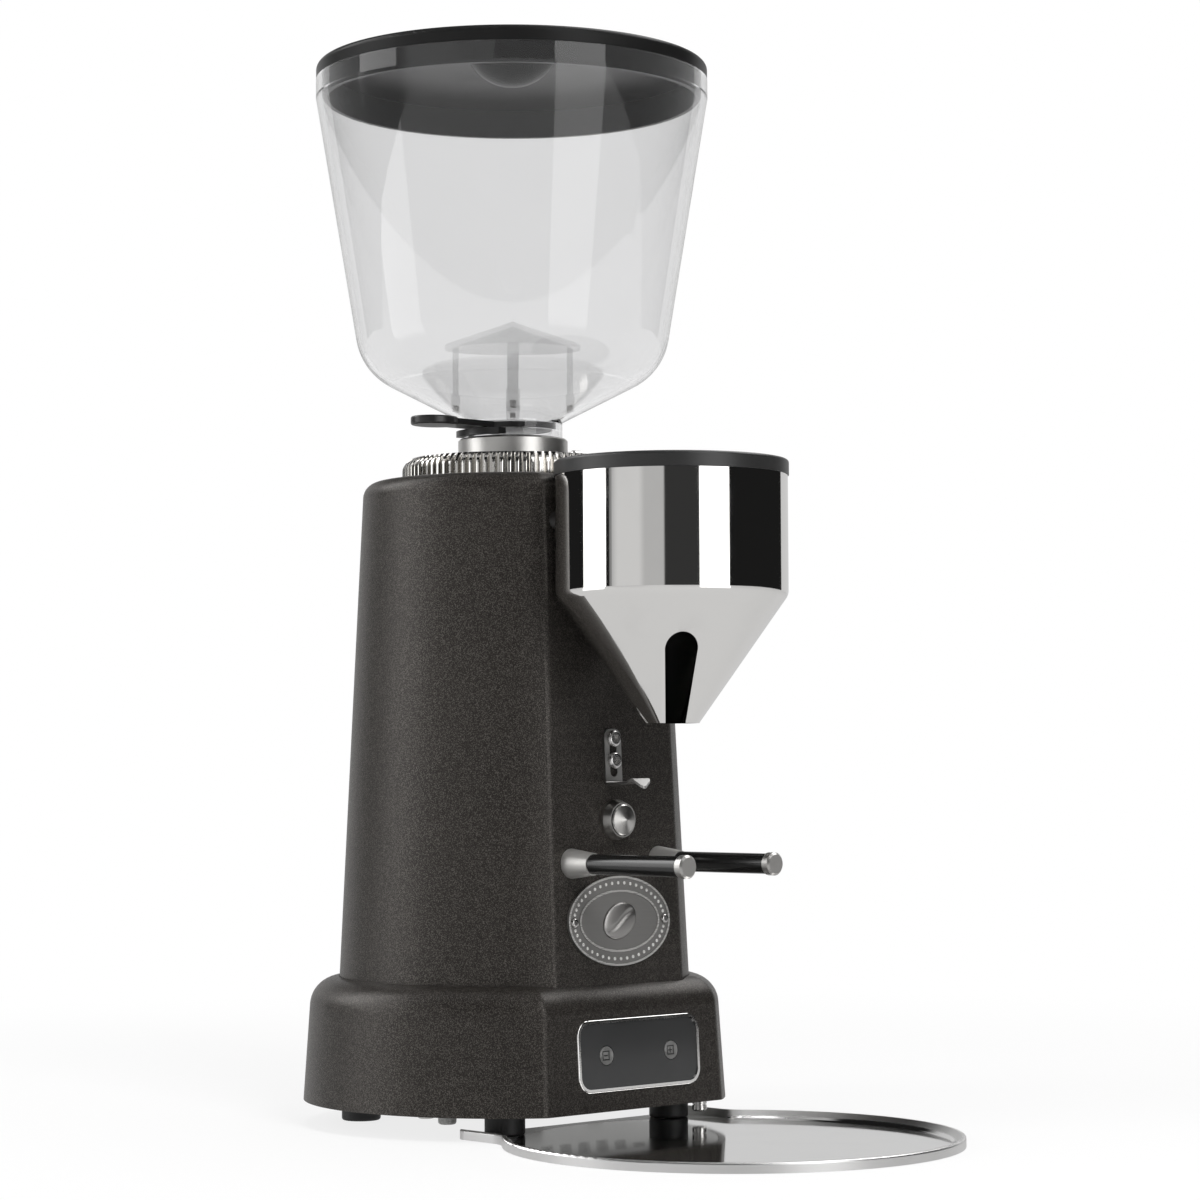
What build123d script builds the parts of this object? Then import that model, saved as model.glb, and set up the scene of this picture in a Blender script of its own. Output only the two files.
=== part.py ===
from build123d import *

import os
from math import atan, cos, degrees, radians, sin, tan

# Burr coffee grinder with flat burrs, a direct-drive motor, a clear bean hopper, a steel outlet
# funnel, a portafilter fork and a slide-out tray. All sizes are in millimetres.
# The solids are drawn round the burr axis (x = 0, y = 0), with the front towards -Y and +Z up.
# They are written out moved by AXIS_Y, so that the origin is the middle of the footprint.

# ---- Running gaps ----
RUN_GAP = 0.3  # between faces that slide or turn on each other
SHAFT_GAP = 0.05  # motor shaft in its bearings
SEAT_GAP = 0.25  # between castings that drop into each other
HOLE_GAP = 0.3  # round a part that passes through a wall

# ---- Base casting ----
FOOT_HEIGHT = 10.5
FOOT_R = 8.75
FOOT_X = 49.5
FOOT_Y = 48.4
BASE_HEIGHT = 54.5
BASE_R_LOW = 94.8
BASE_TAPER = 3.7  # how much smaller the base's radius is at its top
BASE_FRONT_LOW = 78.8
BASE_FRONT_LEAN = 3.2
BASE_CORNER_R = 5.0
BASE_SHOULDER_R = 13.0
BASE_WALL = 3.0
BASE_DECK = 11.0  # depth of the solid shoulder that carries the body
LEDGE = 5.0  # width of the ledge under the body's edge
PLATE_THICK = 1.5
PLATE_SCREW_R = 81.0
PLATE_SCREW_ANGLES = (20, 70, 110, 160, 200, 340)
SCREW_BOSS_R = 5.0
SLOT_LENGTH = 7.0
SLOT_WIDTH = 2.6
SLOT_PITCH_X = 11.0
SLOT_PITCH_Y = 6.0
SLOT_ROWS = 5
SLOT_COLUMNS = 5

# ---- Body casting ----
BODY_HEIGHT = 222.0
BODY_SINK = 7.0  # length of the body inside the base's shoulder
BODY_R_LOW = 78.7
BODY_TAPER = 11.0
BODY_FRONT_LOW = 68.9
BODY_FRONT_LEAN = 11.0
BODY_CORNER_R = 5.0
BODY_TOP_R = 7.0
BODY_WALL = 3.0
DECK_THICK = 6.0  # inner deck that the motor and the grinding chamber bolt to
DECK_BELOW_TOP = 75.0
DECK_HOLE_R = 40.0

# ---- Display unit on the base ----
DISPLAY_WIDTH = 73.5
DISPLAY_HEIGHT = 31.0
DISPLAY_RISE = 23.9  # middle above the base's underside
DISPLAY_X = 2.6  # middle to the right of the burr axis
DISPLAY_CORNER_R = 7.0
BEZEL_RIM = 1.6
BEZEL_PROUD = 0.9
PANEL_THICK = 2.4
KEY_R = 4.0
KEY_X = 19.5
KEY_THICK = 2.2
KEY_TRAVEL = 0.5
KEY_DISH = 0.6
BOARD_THICK = 1.6
BOARD_GAP = 1.6  # free travel between a key and the board behind it

# ---- Push button ----
BUTTON_RISE = 70.2  # above the base's top
BEZEL_R = 8.75
BEZEL_STEP = 2.0  # length of the bezel's straight part
BEZEL_SHANK_R = 8.0
BEZEL_NOSE_R = 7.55
BEZEL_REACH = 5.6
BEZEL_NUT_R = 10.0
BUTTON_R = 6.75
BUTTON_PROUD = 0.9
BUTTON_EDGE = 0.5
BUTTON_POINT = 1.7  # rise of the button's conical face
BUTTON_TRAVEL = 2.5
BUTTON_STEM_R = 2.5
BUTTON_STEM = 5.5

# ---- Portafilter clip ----
CLIP_WIDTH = 10.0
CLIP_THICK = 1.0
CLIP_RISE = 86.0  # underside above the base's top
CLIP_HEIGHT = 24.0
CLIP_CORNER_R = 3.6
CLIP_SLOT_WIDTH = 4.2
CLIP_SLOT_LOW = 3.0
CLIP_SLOT_HIGH = 22.0
CLIP_LEVEL = 13.0
CLIP_CREST = 16.5
CLIP_REACH = 25.0
CLIP_REACH_RIGHT = 18.5
CLIP_HUMP = 1.2
CLIP_DROP = 3.8
CLIP_SCREW_RISES = (10.0, 19.6)
CLIP_SCREW_HEAD_R = 3.7
CLIP_SCREW_HEAD = 2.2
CLIP_SCREW_R = 2.0

# ---- Portafilter fork ----
FORK_X = 26.35
FORK_RISE = 51.7  # above the base's top
FORK_REACH = 137.7
FORK_TIP = 4.4
FORK_TIP_R = 4.95
FORK_SLEEVE_R = 4.4
FORK_CONE_END = 80.0
FORK_CONE_R = 6.9
FORK_NECK_R = 4.8
FORK_ROD_R = 2.5
FORK_STUD_R = 4.0

# ---- Badge plate ----
BADGE_WIDTH = 61.0
BADGE_HEIGHT = 39.0
BADGE_THICK = 1.3
BADGE_RISE = 26.2  # middle above the base's top
BADGE_INNER_WIDTH = 48.0
BADGE_INNER_HEIGHT = 27.0
BADGE_LINE = 0.9
BADGE_RIVET_X = 27.2
RIVET_R = 2.1

# ---- Motor ----
MOTOR_R = 45.0
STACK_HEIGHT = 56.0
WINDING_HEIGHT = 14.0
WINDING_WALL = 11.0
SHIELD_WALL = 4.0
SHIELD_FLANGE_R = 56.0
SHIELD_FLANGE = 5.0
ROTOR_R = 29.3
AIR_GAP = 0.7
SHAFT_R = 7.5
BEARING_R = 16.0
BEARING_WIDTH = 9.0
BEARING_WALL = 3.0
FAN_R = 38.0
FAN_HEIGHT = 12.0
FAN_BLADES = 8
FAN_BLADE = 1.6
FAN_HUB_R = 12.0
MOTOR_SCREW_R = 2.5
MOTOR_SCREW_CIRCLE = 50.5

# ---- Grinding chamber and burrs ----
CHAMBER_R = 46.5
CHAMBER_WALL = 4.0
CHAMBER_FLANGE_R = 57.0
CHAMBER_FLANGE = 4.0
CHAMBER_FLOOR = 4.0
BURR_R = 32.0
BURR_BORE_R = 19.0
BURR_THICK = 8.0
BURR_FLAT = 5.0  # width of the fine grinding band at the rim
BURR_DISH = 3.0
BURR_TEETH = 24
BURR_TOOTH_WIDTH = 2.2
BURR_TOOTH_DEPTH = 1.6
BURR_GAP = 0.3
BURR_BELOW_TOP = 32.0
CARRIER_DISC = 6.0
CARRIER_RIM = 2.5
VANE_R = 40.0
VANE_THICK = 4.0
VANES = 4
BURR_SCREW_R = 1.9
BURR_SCREWS = 3
NUT_R = 11.0
NUT_HEIGHT = 6.0
THROAT_R = 18.0

# ---- Coffee chute ----
CHUTE_WIDTH = 27.0
CHUTE_HEIGHT = 17.0
CHUTE_WALL = 1.6
CHUTE_REACH_IN = 4.5  # how far the chute stands into the funnel

# ---- Adjusting ring and hopper collar ----
RING_R = 50.3
RING_HEIGHT = 10.3
RING_CHAMFER_IN = 3.3
RING_CHAMFER_DOWN = 5.0
RING_LIFT_GAP = 0.2
FLUTES = 90
FLUTE_R = 1.35
FLUTE_DEPTH = 1.15
COLLAR_R = 24.9
COLLAR_HEIGHT = 9.5
LOCK_SCREW_Z = 4.4  # height of the lock screw below the collar's top
LOCK_SCREW_R = 1.5
LOCK_SCREW_HEAD_R = 2.1
LOCK_SCREW_HEAD = 5.0
LOCK_SCREW_REACH = 42.0

# ---- Hopper ----
NECK_R = 21.0
NECK_TOP_R = 22.5  # above the collar
NECK_DEPTH = 7.0
NECK_RISE = 7.0
HOPPER_R = 89.4
HOPPER_HEIGHT = 157.0
HOPPER_BAND = 8.0
HOPPER_WALL = 2.6
FLOOR_ANGLE = 27.0
WALL_ANGLE = 9.4
BELLY_R = 28.0

# ---- Gate slide ----
GATE_THICK = 2.6
GATE_SLOT = 3.2
GATE_EDGE = 1.2  # neck wall left outside the gate's round end
GATE_REACH = 58.0
GATE_GRIP_LENGTH = 22.0
GATE_GRIP_WIDTH = 20.0
GATE_GRIP_THICK = 3.8
GATE_ARM_WIDTH = 15.0
GATE_GUIDE_WALL = 3.5
GATE_GUIDE_HEIGHT = 2.8
GATE_GUIDE_HALF = 14.4

# ---- Finger guard in the hopper ----
GUARD_ROOF_R = 31.0
GUARD_ROOF_RISE = 11.4
GUARD_TIP_Z = 47.0  # above the start of the hopper's floor
GUARD_WALL = 2.2
GUARD_POST_R = 26.0
GUARD_POST_WIDTH = 5.0
GUARD_POST_THICK = 2.6
GUARD_POSTS = 4
GUARD_TURN = -42.0  # how far the guard and the lid are turned from the front
GUARD_SCREW_R = 1.4
GUARD_SCREW_HEAD = 1.6

# ---- Hopper lid ----
LID_R = 89.3
LID_HEIGHT = 7.1
LID_ROOF = 3.0
LID_ROUND = 2.6
LID_SKIRT_DEPTH = 9.0
LID_SKIRT_WALL = 2.4
LID_SKIRT_GAP = 0.6
GRIP_BOWL_R = 19.5
GRIP_BOWL_DEPTH = 20.0
GRIP_BOWL_WALL = 2.0
GRIP_BOWL_AT = 62.0

# ---- Outlet funnel ----
FUNNEL_Y = 101.9
FUNNEL_R = 50.3
FUNNEL_BELOW_TOP = 3.4  # rim below the body's top
FUNNEL_HEIGHT = 106.6
FUNNEL_CYLINDER = 51.6
FUNNEL_BEND_R = 6.0
FUNNEL_WALL = 1.2
OUTLET_R = 11.5
SADDLE_GAP = 0.5
SADDLE_WALL = 3.0
SLOT_TURN = -38.0  # the cone's slot faces this far from the front
SLOT_ARCH_WIDTH = 14.0
SLOT_FOOT_WIDTH = 8.5
SLOT_HEIGHT = 38.0
FUNNEL_LID_R = 50.8
FUNNEL_LID_THICK = 6.6
FUNNEL_LID_ROUND = 1.4
FUNNEL_LID_SKIRT = 8.0
FUNNEL_LID_WALL = 2.0
MAGNET_R = 4.5
MAGNET_TURN = 32.0
MAGNET_DROP = 18.0

# ---- Tray ----
TRAY_R = 97.2
TRAY_Y = 136.8
TRAY_SHEET = 1.0
TRAY_HEIGHT = 4.2
TRAY_LIP = 1.8
TRAY_FLARE = 4.0
TRAY_EDGE_R = 0.8
TONGUE_HALF_WIDTH = 69.0
TONGUE_BACK_Y = 37.0
TONGUE_CORNER_R = 14.0

# ---- Electrics ----
CAPACITOR_R = 17.5
CAPACITOR_LENGTH = 62.0
CAPACITOR_Y = 52.0
CONTROL_WIDTH = 84.0
CONTROL_DEPTH = 52.0
CONTROL_RISE = 8.0
CHIP_HEIGHT = 9.0
BOARD_PEG_R = 2.5
BOARD_PEG_IN = 4.0  # peg's middle in from the board's edges
RELAY_SIZE = (20.0, 14.0)
TRANSFORMER_SIZE = (22.0, 22.0)
CHIP_X = 18.5
SWITCH_X = 61.0
SWITCH_Y = 24.0
SWITCH_R = 4.0
SWITCH_DROP = 6.0
SWITCH_TRAVEL = 2.0
SWITCH_CASE = 16.0
SWITCH_CASE_HEIGHT = 18.0
LOCK_STUD_X = 53.5
LOCK_STUD_Y = 64.0
LOCK_STUD_R = 3.25
LOCK_STUD_DROP = 6.0
GLAND_R = 8.0
GLAND_FLANGE_R = 10.5
GLAND_Z = 32.0
GLAND_REACH = 10.0
GLAND_BORE_R = 3.7
MICRO_WIDTH = 20.0
MICRO_HEIGHT = 10.0
MICRO_DEPTH = 6.0

# ---- Levels that follow ----
BASE_BOTTOM = FOOT_HEIGHT
BASE_TOP = BASE_BOTTOM + BASE_HEIGHT
BODY_BOTTOM = BASE_TOP - BODY_SINK
BODY_TOP = BASE_TOP + BODY_HEIGHT
BASE_R_HIGH = BASE_R_LOW - BASE_TAPER
BASE_FRONT_HIGH = BASE_FRONT_LOW - BASE_FRONT_LEAN
BODY_R_HIGH = BODY_R_LOW - BODY_TAPER
BODY_FRONT_HIGH = BODY_FRONT_LOW - BODY_FRONT_LEAN
DISPLAY_Z = BASE_BOTTOM + DISPLAY_RISE
BADGE_Z = BASE_TOP + BADGE_RISE
FORK_Z = BASE_TOP + FORK_RISE
BUTTON_Z = BASE_TOP + BUTTON_RISE
CLIP_BOTTOM_Z = BASE_TOP + CLIP_RISE
CLIP_SCREWS_Z = tuple(CLIP_BOTTOM_Z + rise for rise in CLIP_SCREW_RISES)
FUNNEL_TOP_Z = BODY_TOP - FUNNEL_BELOW_TOP
OUTLET_Z = FUNNEL_TOP_Z - FUNNEL_HEIGHT
SLOT_ARCH_Z = OUTLET_Z + SLOT_HEIGHT
DECK_BOTTOM = BODY_TOP - DECK_BELOW_TOP - DECK_THICK
DECK_TOP = DECK_BOTTOM + DECK_THICK
BURR_PLANE = BODY_TOP - BURR_BELOW_TOP
LOWER_BURR_SEAT = BURR_PLANE - BURR_THICK
UPPER_BURR_SEAT = BURR_PLANE + BURR_GAP + BURR_THICK
CARRIER_BOTTOM = LOWER_BURR_SEAT - CARRIER_DISC
CHAMBER_FLOOR_TOP = CARRIER_BOTTOM - 3.0
CHAMBER_BORE_R = CHAMBER_R - CHAMBER_WALL
UPPER_CARRIER_R = CHAMBER_BORE_R - RUN_GAP
RING_BOTTOM = BODY_TOP + RING_LIFT_GAP
RING_TOP = RING_BOTTOM + RING_HEIGHT
RING_BORE_R = UPPER_CARRIER_R + RUN_GAP
COLLAR_TOP = RING_TOP + COLLAR_HEIGHT
COLLAR_BORE_R = NECK_R + RUN_GAP
NECK_BOTTOM = COLLAR_TOP - NECK_DEPTH
HOPPER_FLOOR = COLLAR_TOP + NECK_RISE
HOPPER_RIM = HOPPER_FLOOR + HOPPER_HEIGHT
GATE_SLOT_TOP = HOPPER_FLOOR
GATE_SLOT_BOTTOM = GATE_SLOT_TOP - GATE_SLOT
GATE_MID = (GATE_SLOT_TOP + GATE_SLOT_BOTTOM) / 2
LID_TOP = HOPPER_RIM + LID_HEIGHT
GUARD_TIP = HOPPER_FLOOR + GUARD_TIP_Z
GUARD_EAVE = GUARD_TIP - GUARD_ROOF_RISE
SHIELD_TOP = DECK_BOTTOM
STACK_TOP = SHIELD_TOP - SHIELD_FLANGE - WINDING_HEIGHT - BEARING_WIDTH
STACK_BOTTOM = STACK_TOP - STACK_HEIGHT
SHIELD_BOTTOM = STACK_BOTTOM - WINDING_HEIGHT - BEARING_WIDTH
FUNNEL_BACK = FUNNEL_Y - FUNNEL_R
FUNNEL_CONE_TOP = FUNNEL_TOP_Z - FUNNEL_CYLINDER
CHUTE_Z = BURR_PLANE - CHUTE_HEIGHT / 2 + 1.0
CHUTE_FRONT = FUNNEL_BACK + FUNNEL_WALL + CHUTE_REACH_IN
GLAND_BACK = BASE_R_LOW + GLAND_REACH
AXIS_Y = (TRAY_Y + TRAY_R - GLAND_BACK) / 2

MIDDLE_LOW = (Align.CENTER, Align.CENTER, Align.MIN)
BEYOND = 1.0  # how far a cutting solid runs past the face it cuts


# ---- Plain shapes ----
def post(radius, z_from, z_to, x=0.0, y=0.0):
    """Cylinder along Z."""
    return Pos(x, y, z_from) * Cylinder(radius, z_to - z_from, align=MIDDLE_LOW)


def rod(radius, y_from, y_to, x=0.0, z=0.0):
    """Cylinder along Y, from y_from up to the larger y_to."""
    return Pos(x, y_from, z) * Rot(-90, 0, 0) * Cylinder(radius, y_to - y_from, align=MIDDLE_LOW)


def bar_x(radius, x_from, x_to, y=0.0, z=0.0):
    """Cylinder along X, from x_from up to the larger x_to."""
    return Pos(x_from, y, z) * Rot(0, 90, 0) * Cylinder(radius, x_to - x_from, align=MIDDLE_LOW)


def block(x_range, y_range, z_range):
    """Box between the given limits."""
    size = [high - low for low, high in (x_range, y_range, z_range)]
    middle = [(high + low) / 2 for low, high in (x_range, y_range, z_range)]
    return Pos(*middle) * Box(*size)


def outline(points, rounds=()):
    """Flat face through the points, with the corners named in rounds turned into arcs."""
    face = make_face(Polyline(*points, close=True))
    for point, radius in rounds:
        corner = face.vertices().sort_by_distance(Vector(point[0], point[1]))[0]
        face = fillet(corner, radius)
    return face


def turned(points, rounds=()):
    """Solid of revolution about Z from an outline of (radius, height) points."""
    return revolve(Plane.XZ * outline(points, rounds), axis=Axis.Z)


def ring_of(inner, outer, z_from, z_to):
    """Plain tube about the Z axis."""
    return turned([(inner, z_from), (outer, z_from), (outer, z_to), (inner, z_to)])


def round_places(count, radius, start=0.0):
    """Points spread evenly on a circle about the Z axis."""
    angles = [radians(start + 360.0 * step / count) for step in range(count)]
    return [(radius * cos(angle), radius * sin(angle)) for angle in angles]


def facing(turn, radius):
    """Point at a radius, in a direction turned from the front; negative turns go towards -X."""
    return radius * sin(radians(turn)), -radius * cos(radians(turn))


# ---- Leaning towers of the two castings ----
def tower(r_low, r_high, front_low, front_high, z_low, z_high, corner_r, top_r=0.0):
    """Truncated cone with a flat leaning front, rounded at its corners and its top edge."""
    height = z_high - z_low
    lean = (front_low - front_high) / height
    far = 2 * r_low
    cone = Pos(0, 0, z_low) * Cone(r_low, r_high, height, align=MIDDLE_LOW)
    front = outline(
        [
            (-front_low - lean * BEYOND, z_low - BEYOND),
            (-front_high + lean * BEYOND, z_high + BEYOND),
            (-far, z_high + BEYOND),
            (-far, z_low - BEYOND),
        ]
    )
    solid = cone - extrude(Plane.YZ * front, amount=far, both=True)
    if corner_r > 0:
        corners = solid.edges().filter_by(
            lambda edge: z_low + BEYOND < edge.center().Z < z_high - BEYOND
            and edge.center().Y < -0.5 * front_high
        )
        solid = fillet(corners, corner_r)
    if top_r > 0:
        solid = fillet(solid.faces().sort_by(Axis.Z)[-1].edges(), top_r)
    return solid


def base_radius(z):
    """Outer radius of the base casting at a height."""
    return BASE_R_LOW - (BASE_R_LOW - BASE_R_HIGH) * (z - BASE_BOTTOM) / BASE_HEIGHT


def base_front(z):
    """Distance of the base's flat front from the burr axis at a height."""
    return BASE_FRONT_LOW - (BASE_FRONT_LOW - BASE_FRONT_HIGH) * (z - BASE_BOTTOM) / BASE_HEIGHT


def body_radius(z):
    """Outer radius of the body casting at a height."""
    return BODY_R_LOW - (BODY_R_LOW - BODY_R_HIGH) * (z - BASE_TOP) / BODY_HEIGHT


def body_front(z):
    """Distance of the body's flat front from the burr axis at a height."""
    return BODY_FRONT_LOW - (BODY_FRONT_LOW - BODY_FRONT_HIGH) * (z - BASE_TOP) / BODY_HEIGHT


def base_tower(skin, z_low, z_high, corner_r, top_r=0.0):
    """The base's outer form drawn in by a skin."""
    return tower(
        base_radius(z_low) - skin,
        base_radius(z_high) - skin,
        base_front(z_low) - skin,
        base_front(z_high) - skin,
        z_low,
        z_high,
        corner_r,
        top_r,
    )


def body_tower(skin, z_low, z_high, corner_r, top_r=0.0):
    """The body's outer form drawn in by a skin."""
    return tower(
        body_radius(z_low) - skin,
        body_radius(z_high) - skin,
        body_front(z_low) - skin,
        body_front(z_high) - skin,
        z_low,
        z_high,
        corner_r,
        top_r,
    )


BASE_LEAN = atan((BASE_FRONT_LOW - BASE_FRONT_HIGH) / BASE_HEIGHT)
BODY_LEAN = atan((BODY_FRONT_LOW - BODY_FRONT_HIGH) / BODY_HEIGHT)


def front_plane(distance, z, lean, inwards=0.0, x=0.0):
    """Plane on a leaning front, with X to the right and its normal outwards."""
    plane = Plane(origin=(x, -distance, z), x_dir=(1, 0, 0), z_dir=(0, -cos(lean), sin(lean)))
    return plane.offset(-inwards)


def display_plane(inwards=0.0):
    """Plane on the base's front, at the display's middle."""
    return front_plane(base_front(DISPLAY_Z), DISPLAY_Z, BASE_LEAN, inwards, DISPLAY_X)


def body_plane(z, inwards=0.0):
    """Plane on the body's front."""
    return front_plane(body_front(z), z, BODY_LEAN, inwards)


def funnel_form(grow):
    """Outer form of the funnel, grown by a distance, as one closed solid at its place."""
    slope = (FUNNEL_R - OUTLET_R) / (FUNNEL_CONE_TOP - OUTLET_Z)
    top = BODY_TOP + 5.0
    widen = grow / cos(atan(slope))
    points = [
        (0, OUTLET_Z),
        (OUTLET_R + widen, OUTLET_Z),
        (FUNNEL_R + grow, FUNNEL_CONE_TOP - (widen - grow) / slope),
        (FUNNEL_R + grow, top),
        (0, top),
    ]
    return Pos(0, -FUNNEL_Y, 0) * turned(points, [(points[2], FUNNEL_BEND_R + grow)])


# ---- Castings ----
def display_cut(grow, depth):
    """Rounded rectangle of the display unit, sunk into the base's front."""
    shape = RectangleRounded(
        DISPLAY_WIDTH - 2 * BEZEL_RIM + 2 * grow,
        DISPLAY_HEIGHT - 2 * BEZEL_RIM + 2 * grow,
        DISPLAY_CORNER_R - BEZEL_RIM + grow,
    )
    return extrude(display_plane(depth) * shape, amount=depth + BEYOND)


def plate_screw_places():
    """Places of the underside plate's screws."""
    turns = [radians(angle) for angle in PLATE_SCREW_ANGLES]
    return [(PLATE_SCREW_R * cos(turn), PLATE_SCREW_R * sin(turn)) for turn in turns]


def make_base_housing():
    """Round-backed base casting with a wide shoulder, a ledge for the body and screw bosses."""
    deck_bottom = BASE_TOP - BASE_DECK
    solid = base_tower(0, BASE_BOTTOM, BASE_TOP, BASE_CORNER_R, BASE_SHOULDER_R)
    hollow = base_tower(BASE_WALL, BASE_BOTTOM - BEYOND, deck_bottom, BASE_CORNER_R - BASE_WALL)
    for x, y in plate_screw_places():
        hollow -= post(SCREW_BOSS_R, BASE_BOTTOM + PLATE_THICK, deck_bottom, x, y)
    pocket = body_tower(-SEAT_GAP, BODY_BOTTOM, BASE_TOP + BEYOND, BODY_CORNER_R)
    opening = body_tower(LEDGE, deck_bottom - BEYOND, BODY_BOTTOM + BEYOND, BODY_CORNER_R)
    solid -= hollow
    solid -= pocket
    solid -= opening
    solid -= display_cut(HOLE_GAP, BASE_WALL + 2 * BEYOND)
    for x, y in plate_screw_places():
        solid -= post(CLIP_SCREW_R, BASE_BOTTOM - BEYOND, BASE_BOTTOM + 12.0, x, y)
    solid -= rod(GLAND_R, BASE_R_HIGH - 2 * BASE_WALL, GLAND_BACK, 0, GLAND_Z)
    return solid


def chute_block(grow, front, back):
    """Rectangular bar through the chute's place."""
    half = CHUTE_WIDTH / 2 + grow
    z_low = CHUTE_Z - CHUTE_HEIGHT / 2 - grow
    z_high = CHUTE_Z + CHUTE_HEIGHT / 2 + grow
    return block((-half, half), (-front, -back), (z_low, z_high))


def magnet_rods(z, inner, outer):
    """Two short rods in the saddle, pointing at the funnel's axis."""
    rods = []
    for turn in (180 - MAGNET_TURN, 180 + MAGNET_TURN):
        x, y = facing(turn, inner)
        place = Pos(x, y - FUNNEL_Y, z) * Rot(0, 0, turn) * Rot(90, 0, 0)
        rods.append(place * Cylinder(MAGNET_R, outer - inner, align=MIDDLE_LOW))
    return rods


def make_body_housing():
    """Tall casting with a leaning flat front and a saddle that the funnel nests in."""
    solid = body_tower(0, BODY_BOTTOM, BODY_TOP, BODY_CORNER_R, BODY_TOP_R)
    inner_r = BODY_CORNER_R - BODY_WALL
    lower = body_tower(BODY_WALL, BODY_BOTTOM - BEYOND, DECK_BOTTOM, inner_r)
    upper = body_tower(BODY_WALL, DECK_TOP, BODY_TOP - BODY_WALL - 1.0, inner_r)
    upper -= funnel_form(SADDLE_GAP + SADDLE_WALL)
    solid -= lower
    solid -= upper
    solid -= funnel_form(SADDLE_GAP)
    solid -= post(DECK_HOLE_R, DECK_BOTTOM - BEYOND, DECK_TOP + BEYOND)
    solid -= post(CHAMBER_R + SEAT_GAP, DECK_TOP + BEYOND, BODY_TOP + BEYOND)
    solid -= chute_block(HOLE_GAP, FUNNEL_BACK + 6.0, CHAMBER_R)
    button_wall = -body_front(BUTTON_Z)
    solid -= rod(BEZEL_SHANK_R, button_wall - 5.0, button_wall + 8.0, 0, BUTTON_Z)
    for x in (-FORK_X, FORK_X):
        solid -= rod(FORK_STUD_R, -body_front(FORK_Z) - 5.0, -body_front(FORK_Z) + 8.0, x, FORK_Z)
    for z in CLIP_SCREWS_Z:
        solid -= extrude(body_plane(z, 6.0) * Circle(CLIP_SCREW_R), amount=12.0)
    for x, y in round_places(4, MOTOR_SCREW_CIRCLE, 45):
        solid -= post(MOTOR_SCREW_R, DECK_BOTTOM - BEYOND, DECK_TOP + BEYOND, x, y)
    for hole in magnet_rods(FUNNEL_TOP_Z - MAGNET_DROP, FUNNEL_R, FUNNEL_R + 8.0):
        solid -= hole
    return solid


def make_underside_plate():
    """Sheet that closes the base from below, with rows of air slots."""
    top = BASE_BOTTOM + PLATE_THICK
    plate = base_tower(BASE_WALL + SEAT_GAP, BASE_BOTTOM, top, 0)
    slot = SlotOverall(SLOT_LENGTH, SLOT_WIDTH)
    slots = Sketch()
    for row in range(SLOT_ROWS):
        shift = SLOT_PITCH_X / 2 * (row % 2)
        for column in range(SLOT_COLUMNS):
            x = (column - (SLOT_COLUMNS - 1) / 2) * SLOT_PITCH_X + shift - SLOT_PITCH_X / 4
            y = -(row - (SLOT_ROWS - 1) / 2) * SLOT_PITCH_Y
            slots += Pos(x, y - FOOT_Y) * slot
            slots += Pos(x, y + FOOT_Y) * slot
    plate -= extrude(Pos(0, 0, BASE_BOTTOM - BEYOND) * slots, amount=PLATE_THICK + 2 * BEYOND)
    for x, y in plate_screw_places():
        plate -= post(CLIP_SCREW_R, BASE_BOTTOM - BEYOND, top + BEYOND, x, y)
    plate -= post(SWITCH_R + HOLE_GAP, BASE_BOTTOM - BEYOND, top + BEYOND, -SWITCH_X, -SWITCH_Y)
    return plate


def make_plate_screws():
    """Pan-head screws that hold the underside plate to the base's bosses."""
    screws = []
    for x, y in plate_screw_places():
        head = post(CLIP_SCREW_HEAD_R, BASE_BOTTOM - 2.0, BASE_BOTTOM, x, y)
        head = fillet(head.edges().sort_by(Axis.Z)[0], 1.0)
        screws.append(head + post(CLIP_SCREW_R, BASE_BOTTOM, BASE_BOTTOM + 11.0, x, y))
    return screws


def make_rubber_feet():
    """Four round feet; the front two stand on the tray's sheet."""
    feet = []
    for x, y in ((-FOOT_X, -FOOT_Y), (FOOT_X, -FOOT_Y), (-FOOT_X, FOOT_Y), (FOOT_X, FOOT_Y)):
        bottom = TRAY_SHEET if y < 0 else 0.0
        foot = post(FOOT_R, bottom, BASE_BOTTOM, x, y)
        feet.append(fillet(foot.edges().sort_by(Axis.Z)[0], 1.2))
    return feet


def make_lock_stud():
    """Knurled steel stud under the base, beside the right front foot."""
    bottom = BASE_BOTTOM - LOCK_STUD_DROP
    stud = post(LOCK_STUD_R, bottom, BASE_BOTTOM, LOCK_STUD_X, -LOCK_STUD_Y)
    stud = chamfer(stud.edges().sort_by(Axis.Z)[0], 0.6)
    groove = ring_of(LOCK_STUD_R - 0.6, LOCK_STUD_R + BEYOND, bottom + 2.6, bottom + 3.2)
    return stud - Pos(LOCK_STUD_X, -LOCK_STUD_Y, 0) * groove


def make_cord_gland():
    """Cable gland through the back wall, without its cord."""
    wall = base_radius(GLAND_Z)
    gland = rod(GLAND_R, wall - BASE_WALL - 6.0, wall + 2.0, 0, GLAND_Z)
    gland += rod(GLAND_FLANGE_R, wall - 0.5, wall + 4.0, 0, GLAND_Z)
    nose = Pos(0, wall + 4.0, GLAND_Z) * Rot(-90, 0, 0)
    gland += nose * Cone(GLAND_R, GLAND_R - 2.0, GLAND_BACK - wall - 4.0, align=MIDDLE_LOW)
    gland -= base_tower(0, BASE_BOTTOM, BASE_TOP, 0) - base_tower(
        BASE_WALL, BASE_BOTTOM - BEYOND, BASE_TOP - BASE_DECK, 0
    ) - rod(GLAND_R, 0, 2 * GLAND_BACK, 0, GLAND_Z)
    gland -= rod(GLAND_BORE_R, 0, 2 * GLAND_BACK, 0, GLAND_Z)
    return gland


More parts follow.
